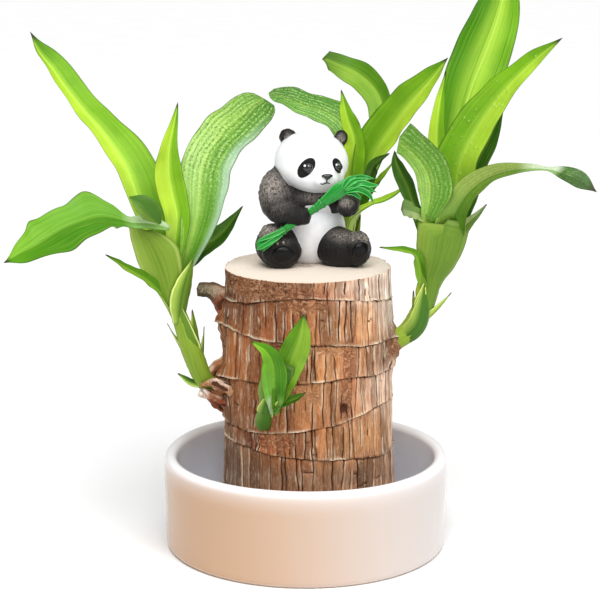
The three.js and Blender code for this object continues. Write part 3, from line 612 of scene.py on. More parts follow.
def band_plates(band):
    """A band's cracks, the plates to the right of them, and the columns of vertices that follow them.
    start, stop and cross are shares of the way down the band, and lie outside it where nothing ends there."""
    rng = np.random.default_rng(310 + band)
    place = [0.0]
    while place[-1] < LOG_AROUND - 4.5:
        fine = 0.5 + 0.5 * math.cos(place[-1] / LOG_AROUND * TAU - FINE_SIDE)
        place.append(place[-1] + rng.uniform(*PLATE_WIDTHS) * (1 - 0.3 * fine))
    count = len(place)
    whole = rng.random(count) < WHOLE_CRACKS
    plates = {
        "place": np.array(place), "lean": np.clip(rng.normal(0, 0.22, count), -0.4, 0.4),
        "phase": rng.uniform(0, TAU, count), "depth": rng.uniform(0.6, 1.15, count),
        "start": np.where(whole, -0.3, rng.uniform(0, 0.5, count)),
        "stop": np.where(whole, 1.3, rng.uniform(0.5, 1.0, count)),
        "level": rng.normal(0, 0.2, count), "tint": rng.uniform(-1, 1, count),
        "cross": np.where(rng.random(count) < SPLIT_PLATES, rng.uniform(0.1, 0.9, count), 9.0),
    }
    wide = np.diff(np.append(place, LOG_AROUND))
    least = 6
    share = np.cumsum(least + (LOG_COLUMNS - least * count) * wide / wide.sum())
    plates["columns"] = np.diff(np.concatenate([[0], np.rint(share - least).astype(int) + least]))
    return plates


def column_places(plates, t):
    """Places of the columns round the trunk in one row, their plate, and their distance from its edges."""
    wobble = 0.15 * np.sin(5 * t + plates["phase"]) + 0.1 * np.sin(13 * t + 2 * plates["phase"])
    crack = plates["place"] + plates["lean"] * (t - 0.5) * 2 + wobble
    wide = np.diff(np.append(crack, crack[0] + LOG_AROUND))
    arc, plate, side = [], [], []
    for j, (start, width, columns) in enumerate(zip(crack, wide, plates["columns"])):
        lip, near = min(0.36, width * 0.3), min(0.15, width * 0.12)
        inner = np.linspace(lip, width - lip, columns - 3)
        offset = np.concatenate([[0, near], inner, [width - near]])
        arc.append(start + offset)
        plate.append(np.full(columns, j))
        side.append(np.column_stack([offset, width - offset]))
    return np.concatenate(arc), np.concatenate(plate), np.vstack(side)


def crack_relief(plates, t, arc, z, plate, side):
    """Crack strength, painted highlights on the edges beside the cracks, and the crown of each plate, along
    one row.
    """
    crack, edge = 0, 0
    for k in (0, 1):
        j = (plate + k) % len(plates["place"])
        start, stop = plates["start"][j], plates["stop"][j]
        fade = smoothstep(t, start - 0.06, start) * (1 - smoothstep(t, stop, stop + 0.06))
        strength = fade * plates["depth"][j] * (0.8 + 0.2 * noise2(j * 7.3, z * 0.5, 15))
        crack = np.maximum(crack, strength * bell(side[:, k], CRACK_REACH))
        gate = smoothstep(noise2(j * 5.1 + 0.5 * k, z * 0.22, 16), -0.2, 0.5)
        # The edges beside the cracks are painted pale as highlights.
        edge = np.maximum(edge, strength * gate * bell(side[:, k] - 0.4, 0.2))
    over = (t - plates["cross"][plate]) * 14 + 0.8 * noise2(arc * 0.9, 0.5, 17)
    crack = np.maximum(crack, 0.7 * bell(over, 0.3))
    crown = 1 - np.abs(2 * side[:, 0] / side.sum(1) - 1) ** 2.6
    return crack, edge, crown


def up_share(z):
    return (z - LOG_FOOT) / (LOG_TOP - LOG_FOOT)


def trunk_radius(angle, z):
    radius = LOG_RADIUS - LOG_TAPER * up_share(z) + 0.5 * np.sin(2 * angle + z * 0.05) * np.sin(z * 0.07 + 1)
    for towards, height, out, wide, tall in KNOTS:
        away = turn(angle, towards)
        radius = radius + out * np.exp(-(away / wide) ** 2 - ((z - height) / tall) ** 2)
        ripple = np.hypot(away, z - height)
        radius = radius + 0.35 * np.sin(ripple * 2.1) * bell(ripple, 8)
    return radius


def bark_tone(angle, z, tint):
    """The plates' colours: browns that pale towards the right, and towards the top there, with patches. The
    paling and the darker left are partly the bark's own colour and partly painted light and shade.
    """
    left, middle, right = (np.array(BARK[name]) for name in ("brown", "sand", "pale"))
    where = turn(angle, PALE_SIDE)
    tone = left + (middle - left) * smoothstep(where, -50, -12)[:, None]
    # Paler on the lit right and towards the top there: partly the bark's colour, partly painted light.
    paling = (0.4 + 0.28 * smoothstep(z, 60, 92)) * smoothstep(where, -14, 2)
    tone = tone + (right - tone) * paling[:, None]
    rough = 0.75 + 0.25 * noise2(angle * 11, z * 0.4, 5)
    for patch, weight in zip(PATCHES, spots(PATCHES, angle, z)):
        weight = np.clip(weight * 1.4, 0, patch[5])[:, None] * rough[:, None]
        tone = tone * (1 - weight) + np.array(BARK[patch[0]]) * weight
    return np.clip(tone * (1 + 0.17 * tint[:, None]), 0, 255)


def edge_height(band, angle):
    """The height of a band's upper edge: the sawn top, a jagged growth ring, or the log's bottom."""
    if band == 0:
        return LOG_TOP + 0 * angle
    if band > len(RINGS):
        return LOG_BOTTOM + 0 * angle
    jag = 0.3 * noise2(angle * 62 / TAU, 3 * band - 2.5, 39 + band, 62)
    return ring_height(RINGS[band - 1], angle) + jag


def log_row(plates, band, t):
    """One row of vertices round the trunk, at share t of the way down a band, with its values."""
    arc, plate, side = column_places(plates, t)
    angle = arc * TAU / LOG_AROUND
    upper, lower = edge_height(band, angle), edge_height(band + 1, angle)
    z = upper + (lower - upper) * t
    crack, edge, crown = crack_relief(plates, t, arc, z, plate, side)
    matted = np.clip(sum(spots(MATTED, angle, z)) * (1 + 0.5 * noise2(arc * 0.8, z * 0.5, 18)), 0, 1)
    matted = smoothstep(matted, 0.15, 0.75)
    crack = crack * (1 - 0.75 * matted)
    # Each ring is a ledge: the band above swells out over it, and the band below starts further in.
    ledge = 0.75 + 0.45 * noise2(angle * 30 / TAU, 1.3 * band, 70, 30)
    pale = smoothstep(noise2(angle * 26 / TAU, 2.7 * band + 0.5, 71, 26), -0.25, 0.5)
    # Just under each ledge the band is painted dark as its shadow.
    top = bell(upper - z, 0.6) * (band > 0)
    foot = bell(z - lower, 0.45) * (band < len(RINGS))
    hole = sum(spots(HOLES, angle, z))
    fibre = noise2(arc / LOG_AROUND * 260, z * 0.35, 11, 260)
    lump = noise2(arc / LOG_AROUND * 60, z * 0.3, 12, 60)
    radius = trunk_radius(angle, z) - 0.3 + plates["level"][plate] * (1 - matted) + 0.14 * crown
    radius -= CRACK_DEPTH * crack
    radius += 0.08 * fibre + 0.16 * lump + matted * 0.4 * noise2(arc * 1.1, z * 0.9, 14)
    radius += (0.35 * foot + 0.2 * bell(z - lower, 3) - 0.7 * top) * ledge
    radius -= 1.8 * hole
    points = np.stack([np.cos(angle) * radius, np.sin(angle) * radius, z], 1)
    points[:, 0] += LOG_FOOT_X - (LOG_FOOT_X - LOG_TOP_X) * up_share(z)
    return {
        "points": points, "matted": matted,
        # Painted dark: the cracks, partly as shade, the shadow under each ring's ledge, and the hole.
        "crack": np.clip(crack + 0.85 * top * ledge + hole, 0, 1),
        # Painted highlights: the pale lip on each ring's ledge and the edges beside the cracks.
        "lip": np.clip(foot * pale * ledge * 1.1 + 0.7 * edge * (1 - matted), 0, 1),
        "tone": bark_tone(angle, z, plates["tint"][plate] + 0.5 * noise2(plate * 3.7, z * 0.09, 19)),
    }


def log_rows():
    """The side of the trunk, row after row from the top down."""
    heights = [LOG_TOP, *(ring[0] for ring in RINGS), LOG_BOTTOM]
    rows = []
    for band, (high, low) in enumerate(zip(heights, heights[1:])):
        plates = band_plates(band)
        count = max(8, int((high - low) / LOG_ROW_GAP))
        rows += [log_row(plates, band, t) for t in np.linspace(0, 1, count)]
    return {key: np.array([row[key] for row in rows]) for key in rows[0]}


# Outgrowths: path, radii as [across, deep], tones at the root, at the end and on top; the top tone is partly
# painted light.
LIMBS = [
    ([(-21, 1, 80), (-27.5, 0.5, 87), (-32.5, 0, 91), (-37.3, 0, 91.8)],
     [(7, 9), (5.4, 5.6), (3.4, 3.2), (2.2, 2)], "rust", "moss", "sand"),
    ([(-24, -9, 60), (-30, -8, 57), (-35, -6, 55.5), (-37, -5.5, 56)],
     [2.8, 2.4, 1.6, 1.2], "brown", "pale", "sand"),
    ([(-25, 4, 62), (-31, 3, 60), (-35.5, 1, 57), (-37, 0, 56.5)],
     [2.8, 2.4, 1.5, 0.8], "brown", "tan", "sand"),
    ([(-26, -5, 50), (-31, -5, 52), (-34, -4, 55), (-36, -4, 57)],
     [2.4, 2, 1.5, 0.8], "rust", "pale", "tan"),
    ([(-25, -12, 58), (-29, -11.5, 60), (-33, -9.5, 60.5), (-36, -8, 59)],
     [2, 1.7, 1.3, 0.8], "sand", "tan", "pale"),
    ([(-27, -1, 66), (-31, -2, 64.5), (-34, -4, 61), (-36, -5.5, 58)],
     [2.2, 1.8, 1.4, 0.7], "brown", "rust", "tan"),
    ([(-25, -8, 52), (-29.5, -9, 54), (-33, -8.5, 56), (-35.5, -7.5, 58)],
     [1.8, 1.5, 1.2, 0.6], "rust", "pale", "sand"),
]


def log_limb(shape, path, radii, root, end, top, seed):
    """A gnarled outgrowth that leaves the trunk."""
    points, faces, place, _, outward = tube(path, radii, 26, 26)
    angle = np.arctan2(outward[:, 2], outward[:, 1])
    rib = noise2((angle + math.pi) * 9 / TAU, place * 4, seed, 9)
    points = points + outward * (0.55 * rib + 0.25 * noise3(points * 1.1, seed + 1))[:, None]
    share = smoothstep(place, 0.55, 0.9)[:, None]
    tone = np.array(BARK[root]) * (1 - share) + np.array(BARK[end]) * share
    # Upward faces take the paler top tone, partly as painted light from above.
    over = (smoothstep(outward[:, 2], 0.1, 0.7) * 0.7)[:, None] * (1 - share)
    tone = tone * (1 - over) + np.array(BARK[top]) * over
    tone = tone * (1 + 0.15 * noise3(points * 0.8, seed + 2))[:, None]
    # Rib crests painted pale as highlights, and the grooves between them dark as shade.
    lip = smoothstep(rib, 0.3, 0.8) * (0.5 - 0.4 * share[:, 0])
    shape.add(points, faces, crack=smoothstep(-rib, 0.1, 0.6), lip=lip, matted=0.3, **tone_values(tone))


def tone_values(tone):
    """The three values that the bark's material joins into a colour."""
    return dict(zip(("red", "green", "blue"), linear(tone).reshape(-1, 3).T))


def log():
    """The trunk with its ringed bark, gnarled limbs on the left, and sawn top."""
    rows = log_rows()
    side, tone = rows.pop("points"), rows.pop("tone")
    shape = Shape("crack", "lip", "matted", "red", "green", "blue", "radius")
    shape.add(side, [grid(len(side), LOG_COLUMNS, True)], **rows, **tone_values(tone))
    # The sawn top's rings of vertices, as shares of the way out from the middle.
    inward = np.array([1.0, 0.992, 0.975, 0.95, 0.9, 0.82, 0.72, 0.6, 0.46, 0.3, 0.15, 0.04])[:, None]
    x = LOG_TOP_X + (side[0, :, 0] - LOG_TOP_X) * inward
    y = side[0, :, 1] * inward
    top = np.stack([x, y, np.full(x.shape, LOG_TOP)], 2)
    top[1:, :, 2] += 0.06 * noise2(x[1:] * 0.5, y[1:] * 0.9, 8)
    middle = np.arange(LOG_COLUMNS) + (len(inward) - 1) * LOG_COLUMNS
    shape.add(top, [grid(len(inward), LOG_COLUMNS, True)[:, ::-1], [middle.tolist()]], 1,
              radius=np.hypot(x - LOG_TOP_X, y))
    shape.add(side[-1], [[list(range(LOG_COLUMNS))[::-1]]], **tone_values(tone[-1]))
    for seed, limb in enumerate(LIMBS):
        log_limb(shape, *limb, seed * 5 + 60)
    shape.piece("log_bark", [bark_look(), cut_look()], "bark_wood", "log")


# ---- Leaf blades and shoots ----

# Places across a blade, from its left edge over the midrib to the right edge. They crowd at all three.
HALF_ACROSS = [0.045, 0.12, 0.25, 0.4, 0.55, 0.7, 0.84, 0.93, 0.975, 1]
BLADE_ACROSS = np.array([-v for v in HALF_ACROSS[::-1]] + [0] + HALF_ACROSS)[None]
RIB_DEPTH, RIB_WIDTH = 0.22, 0.55


def blade(shape, spine, widths, face, seed, tone, fold=(38, 22, 14), clasp=(70, 25, 0, 0, 0), ripple=0.5,
          ragged=0.02, thick=0.9, point=0.03, notch=(0, 0), shift=0.0, mirror=1, sheath=0.0, dry=1.0,
          steps=60):
    """A thin leaf. widths, face, fold and clasp are spread evenly along it. face points up from its upper
    side, fold is how far its halves rise from the midrib, and clasp how far its edges curl: up round what it
    grows from, or down where it is a sheath, both in degrees. ripple and thick are in mm. Its last share,
    point, is rounded off, and notch draws the end's corners forward and slants it, in mm. shift moves the
    midrib sideways, and mirror -1 puts the painted shade on the other half."""
    phase = np.random.default_rng(seed).uniform(0, TAU, 4)
    s = np.linspace(0, 1, steps)
    s = s + 0.06 * np.sin(TAU * s) / TAU
    centre, tangent = curve(spine, s)
    side = unit(np.cross(tangent, along(face, s)))
    normal = np.cross(side, tangent)
    half = np.maximum(along(widths, s)[:, 0], 0.25) / 2
    half = half * np.sqrt(np.clip(1 - (1 - np.clip((1 - s) / point, 0, 1)) ** 2, 0.004, 1))
    bend = np.radians(along(fold, s)[:, 0])[:, None]
    curl = along(clasp, s)[:, 0]
    curl = np.radians(np.where(np.abs(curl) < 0.5, 0.5, curl))[:, None] * (-1 if sheath else 1)
    v = BLADE_ACROSS
    u = shift + v * np.where(v < 0, 1 + shift, 1 - shift)
    uneven = np.where(u > 0, *(noise2(s * 14, seed, k)[:, None] for k in (51, 52)))
    wide = half[:, None] * (1 + ragged * uneven)
    small = np.minimum(1, wide / 4)
    reach = wide * np.sin(u * np.abs(curl)) / np.abs(curl) * np.cos(bend)
    lift = wide * (np.abs(v) ** 1.4 * np.sin(bend) + (1 - np.cos(u * curl)) / curl)
    waves = [(np.sin(s * a + phase[k]) + 0.5 * np.sin(s * b + phase[k + 1]))[:, None]
             for k, a, b in ((0, 17, 41), (2, 19, 37))]
    wave = np.where(u > 0, *waves)
    lift = lift + ripple * wave * u ** 2 * small
    rib = RIB_DEPTH * bell((u - shift) * wide, RIB_WIDTH)
    lift = lift - rib * np.minimum(1, wide / 3)
    pleat = 0.05 * np.sin(u * 19 + phase[0]) * small * (1 - u ** 6)
    body = thick * (0.5 + 0.5 * (1 - s))[:, None] * np.clip(wide / 2.2, 0.25, 1)
    half_thick = body / 2 * (0.35 + 0.65 * (1 - np.abs(u) ** 2.5))
    half_thick = half_thick * np.sqrt(np.clip((1 - np.abs(u)) / 0.05, 0.02, 1))
    drawn = (notch[0] * np.abs(u) ** 1.5 + notch[1] * u) * smoothstep(s, 0.55, 1.0)[:, None]
    flat = centre[:, None] + side[:, None] * reach[..., None]
    along_end = tangent[:, None] * drawn[..., None]
    upper = flat + normal[:, None] * (lift + pleat + half_thick)[..., None] + along_end
    lower = flat + normal[:, None] * (lift + pleat - (half_thick + rib))[..., None] + along_end
    ring = 2 * v.size
    last = (steps - 1) * ring
    caps = [[list(range(ring))[::-1], list(range(last, last + ring))]]
    across = np.tile(np.concatenate([v[0], v[0, ::-1]]), steps) * mirror
    shape.add(np.concatenate([upper, lower[:, ::-1]], 1), [grid(steps, ring, True), *caps], across=across,
              under=np.tile(np.repeat([0, 1], v.size), steps), place=np.repeat(s, ring), tone=tone,
              sheath=sheath, dry=dry)


def leaf(name, look, slot, seed, spine, widths, face, form):
    shape = Shape("across", "place", "under", "tone", "dry")
    tone = np.random.default_rng(seed + 500).uniform(0, 1)
    blade(shape, spine, widths, face, seed, tone, **form)
    shape.piece(f"{name}_blade", [look], slot, name)


def stem(name, look, path, radii, tone, sheaths):
    """A shoot's stem with its clasping sheaths."""
    shape = Shape("across", "place", "tone", "sheath", "dry")
    points, faces, place, turns, outward = tube(path, radii, 60, 40)
    points = points + outward * (0.1 * noise3(points * 0.9, 3) + 0.07 * np.sin(turns * 24))[:, None]
    shape.add(points, faces, across=turns * 0.7, place=place * 4, tone=tone)
    for k, (spine, widths, face, form) in enumerate(sheaths):
        usual = dict(clasp=(70, 62, 40, 20), sheath=1.0, dry=0.8, tone=tone + 0.1 * math.sin(k * 2.4),
                     fold=(0, 0), ripple=0.12, thick=0.7, steps=34)
        blade(shape, spine, widths, face, k + 7, **{**usual, **form})
    shape.piece(f"{name}_sheathed", [look], "shoot_stem", name)


# A stem has a path, its radii as (across, deep) and its tone. Its sheaths, like the leaves, have a spine,
# widths, faces and what differs from a plain blade. A leaf's name and material come first.
LEFT_STEM = dict(
    path=[(-30, -2, 56), (-35, -4, 60), (-39, -6, 70), (-43, -6, 82), (-47, -5, 92), (-50, -1, 104),
          (-51, 2, 109)],
    radii=[(3, 3), (3.4, 3.2), (3.6, 3.2), (2.9, 2.7), (2.8, 2.5), (4.4, 3.2), (4.8, 2.4)], tone=0.4,
    sheaths=[
        ([(-37, -6, 62), (-40.5, -8.6, 74), (-43.6, -8.4, 89)],
         [5.5, 8.2, 8, 4.5, 0.6], [(-0.3, -1, 0)], dict(dry=0.6, tone=0.15)),
        ([(-36, -3, 62), (-38, -6, 76), (-39, -7, 86)],
         [6, 8, 7, 4, 0.6], [(0.8, -0.6, 0)], dict(tone=0.2)),
        ([(-43.5, -8, 81), (-41.8, -9, 93), (-38.5, -7.6, 104)],
         [5, 9, 8.6, 5, 0.6], [(0.5, -0.85, 0)], dict(dry=0.5, tone=0.15)),
        ([(-40, -5, 66), (-44, -5.5, 73), (-48, -5, 80.5)], [3, 4, 3.2, 0.6], [(-1, 0, 0.3)], dict(dry=1)),
        ([(-36, -4, 60), (-35.6, -4.6, 70), (-35, -5, 79.5)],
         [4, 5, 3.6, 0.6], [(1, -0.2, 0)], dict(dry=1, tone=0)),
        ([(-33, -4, 60), (-39, -4.5, 59.5), (-44.6, -4, 62.5)],
         [3.4, 4, 2.8, 0.5], [(-0.2, -0.6, 0.8)], dict(dry=1, tone=0)),
        ([(-44.8, -7.4, 84), (-47.3, -8.6, 93), (-49.8, -8.6, 102), (-52.8, -8.6, 109), (-56.4, -9, 115)],
         [5.5, 7.6, 11.5, 15, 16, 12, 6], [(-0.1, -1, 0.05), (-0.2, -1, 0.25)],
         dict(dry=0, tone=0.3, sheath=0.25, clasp=(62, 52, 38, 34, 50), notch=(1, -3))),
        ([(-49.2, -13, 117), (-51.7, -15, 121.1), (-54.9, -16, 124.4), (-59.4, -15, 126.6)],
         [1.4, 6.4, 7.4, 5.4, 0.5], [(-0.2, -0.9, 0.5)],
         dict(dry=0, tone=-0.2, sheath=0.05, clasp=(20, 10, 0))),
    ],
)
LEFT_LEAVES = [
    ("inner", "bright", [(-48, -1, 98), (-45.5, -1, 109), (-44.8, -1.5, 118), (-46.5, -2, 127),
      (-47.3, -3, 133), (-46.8, -4, 141), (-45, -4, 149), (-44, -3.5, 153.5), (-43.3, -3, 157)],
     [6, 8, 9, 10.4, 11, 10.8, 9, 5.6, 2.8, 0.5], [(0.25, -1, 0.1), (0.35, -0.9, 0.2)], dict(shift=0.1)),
    ("broad", "frosted", [(-44, -1, 96), (-39.6, -1, 106), (-35.9, 0, 117.8), (-35, 2, 126.2),
      (-34.4, 4, 132.9), (-32.1, 7, 138.7), (-28.1, 12, 143.2), (-22.4, 19, 148.3), (-17.6, 25, 152.2),
      (-14.1, 29, 154.2)],
     [6, 9, 12.5, 16, 18, 18.6, 18.8, 18.8, 17.4, 12.5],
     [(0.3, -1, 0.1), (-0.1, -0.95, 0.2), (-0.2, -0.9, 0.3), (-0.3, -0.9, 0.3), (-0.3, -0.9, 0.36)],
     dict(point=0.06, ragged=0.03, shift=-0.1, dry=0, fold=(45, 16, 8, 5, 8), ripple=0.7)),
    ("tall", "bright", [(-50.5, 2, 98), (-53.6, 2, 111), (-57, 5, 125), (-60.4, 8, 133), (-64.2, 11, 138.6),
      (-69.9, 15, 145.3), (-77, 21, 151.9), (-83.7, 26, 159.1), (-89, 29, 165.9), (-94.5, 31, 172),
      (-97.6, 32, 178)],
     [6, 9, 13, 15.6, 16.4, 15.6, 14, 12.2, 10.6, 10, 10.4, 7.4, 0.5],
     [(0.3, -0.9, 0.2), (0.5, -0.8, 0.35), (0.5, -0.75, 0.45)],
     dict(shift=-0.3, ragged=0.04, fold=(42, 26, 20, 16, 22, 44))),
    ("drooping", "deep", [(-46.5, -7.5, 114.4), (-49.5, -9, 115.6), (-54.2, -10, 116.4), (-58.8, -12, 117),
      (-62.6, -14, 118.4), (-65.7, -16.5, 119.4), (-68.5, -19, 119.8), (-73.6, -24, 119.2),
      (-79.1, -28, 117.6), (-87.8, -33, 113), (-93, -34, 110.8), (-99, -35, 108)],
     [2, 4.6, 5.6, 6, 11, 18.6, 18.4, 18.6, 20.5, 18.5, 13.5, 7.5, 0.5],
     [(-0.1, -0.8, 0.5), (0.1, -0.65, 0.75), (-0.1, -0.65, 0.76), (-0.35, -0.7, 0.62)],
     dict(ragged=0.07, ripple=1, shift=0.1, fold=(10, 20, 14, 10), clasp=(10, 0, 0), mirror=-1)),
    ("dark", "dark", [(-47, -3, 90), (-43, 0, 98), (-37, 5, 104), (-29, 9, 110), (-22, 12, 119)],
     [4, 7, 8.4, 7.6, 4.8, 0.5], [(-0.2, -0.9, 0.4), (-0.3, -0.85, 0.4)], {}),
    ("lower", "mid", [(-46, -6, 85), (-50, -8, 92), (-54, -11, 97), (-60, -16, 102), (-67, -21, 108)],
     [3.5, 4.6, 4.8, 4, 2.8, 0.5], [(0.3, -0.7, 0.6), (0.3, -0.6, 0.7)], {}),
]
BACK_STEM = dict(
    path=[(13, 23, 84), (15, 30, 89), (16, 33, 96), (15, 32, 104), (15, 30, 112), (16, 29, 121),
          (17, 28, 127)],
    radii=[(3, 3), (3.2, 3.2), (3, 3), (2.6, 2.6), (2.4, 2.4), (3.2, 2.8), (3.6, 2.4)], tone=0.45,
    sheaths=[
        ([(15, 31, 90), (14, 30, 100), (11, 30, 108)], [5, 7, 6, 3.4, 0.5], [(-0.6, -0.6, 0)], {}),
        ([(16, 33, 94), (18, 33, 104), (20, 32, 112)], [5, 6, 5, 3, 0.5], [(0.8, 0.3, 0)], {}),
        ([(15, 31, 104), (15, 29.5, 115), (13, 28, 123)],
         [5, 7, 6.5, 4, 0.5], [(-0.3, -1, 0)], dict(dry=0.2)),
        ([(16, 33, 100), (17, 33.6, 112), (18, 32, 122)],
         [5, 8, 7.4, 4, 0.5], [(0.1, 1, 0)], dict(dry=0.2)),
    ],
)
BACK_LEAVES = [
    ("inner", "bright", [(16.5, 28, 116), (16.6, 25, 130), (17, 22, 141), (14.2, 20, 150), (12.4, 18, 159)],
     [5, 8.4, 9, 7.4, 5, 0.5], [(0, -1, 0.1), (0.2, -0.9, 0.2)], {}),
    ("striped", "striped", [(16, 30, 117), (16.4, 31, 136), (13.6, 34, 144.4), (6.8, 38, 149),
      (-0.4, 41, 151), (-7.4, 43, 153.4), (-13.4, 44, 155)],
     [5, 7.5, 8.5, 10.5, 12.6, 13, 11.4, 7],
     [(-0.6, -0.8, 0.2), (-0.3, -0.65, 0.7), (-0.1, -0.55, 0.83), (-0.1, -0.5, 0.86)],
     dict(fold=(40, 18, 10, 8), point=0.08, ragged=0.03, dry=0)),
    ("high", "mid", [(18, 31, 118), (23, 31, 130), (27.2, 32, 141.3), (27.2, 34, 148.3), (26, 38, 153.6),
      (22.5, 42, 158.2), (16.8, 45, 162.2), (11.3, 47, 164.5), (6.3, 48, 166.6)],
     [5, 7, 8, 9, 9.4, 9.6, 10.4, 11.4, 10.4, 8],
     [(0.3, -0.9, 0.2), (-0.2, -0.8, 0.55), (-0.1, -0.7, 0.7)],
     dict(point=0.014, notch=(-1, 1.5), shift=0.2, dry=0)),
    ("bright", "bright", [(18, 27, 117), (20.4, 27, 125), (22.2, 26, 131), (24.6, 24, 137.4),
      (29.8, 20, 145.7), (34.8, 15, 153.4), (40.2, 10, 160.5), (44.4, 7, 165.8), (48.4, 4.6, 171.4)],
     [5, 9, 12, 14, 15.4, 15, 13.4, 10.6, 7, 0.5],
     [(0, -0.9, 0.3), (-0.35, -0.85, 0.35), (-0.4, -0.8, 0.4)],
     dict(fold=(44, 26, 18), shift=0.1, mirror=-1)),
    ("fold", "dark", [(18, 26, 115), (22, 20, 127), (24, 15, 133), (29, 9, 138)],
     [4, 5, 4.5, 0.5], [(0.2, -0.8, 0.5)], {}),
    ("short", "bright", [(18, 29, 111), (24, 25, 123), (28, 20, 129), (31, 14, 135)],
     [3, 3.8, 3, 0.5], [(0, -0.7, 0.7)], {}),
    ("arching", "bright", [(15, 30, 103), (18, 21, 114), (23, 15, 119), (28, 11, 121.5), (36, 7, 127.5)],
     [3, 3.6, 3.4, 2.8, 0.5], [(0, -0.6, 0.8), (0, -0.7, 0.7)], {}),
]
RIGHT_STEM = dict(
    path=[(27, -3, 70), (31, -4, 74), (36, -4, 78), (41, -4, 87), (44, -3, 96), (45, -2, 106),
          (46, 0, 113)],
    radii=[(3.2, 3.2), (3.4, 3.2), (3.6, 3.2), (3.4, 3), (3.1, 2.8), (4.2, 3), (5.4, 2.8)], tone=0.5,
    sheaths=[
        ([(32, -5.6, 73), (38.8, -8, 80.5), (41, -8.2, 95.5)],
         [7, 9.4, 8.6, 5, 0.6], [(0.25, -1, 0)], dict(dry=1, tone=-0.1, sheath=0.5)),
        ([(37, -3.6, 77.6), (44, -5, 84), (50.4, -5, 91.5)],
         [5, 6, 4, 0.5], [(0.7, -0.5, -0.4)], dict(dry=1)),
        ([(35, -4.6, 75), (37, -6, 84), (37, -6, 92.5)],
         [4.5, 5.4, 3.6, 0.5], [(-0.8, -0.5, 0)], dict(dry=1)),
        ([(39.5, -6, 82), (42.8, -7.2, 93), (47, -6.8, 103)],
         [6, 8.4, 7.6, 4.4, 0.6], [(0.6, -0.8, 0)], dict(dry=0.8, tone=0.9)),
        ([(40, -2, 84), (42, 0, 95), (42, 2, 103)], [5, 7, 6, 3.6, 0.6], [(-0.3, 1, 0)], {}),
        ([(41.5, -7, 86), (43, -8.6, 97), (44.9, -10.6, 104), (46, -11.4, 109), (46.6, -11.8, 112.6)],
         [6, 8, 11, 15, 18.4, 19.4], [(0, -1, 0), (0.05, -1, 0.1)],
         dict(dry=0, tone=0.18, sheath=0.12, clasp=(66, 58, 46, 42, 38), point=0.03, notch=(5, 1))),
        ([(39, -5.6, 84), (39, -7, 92), (40.6, -6, 99.5)],
         [4.5, 6, 5, 0.6], [(-0.7, -0.7, 0)], dict(dry=0.2, tone=1)),
    ],
)
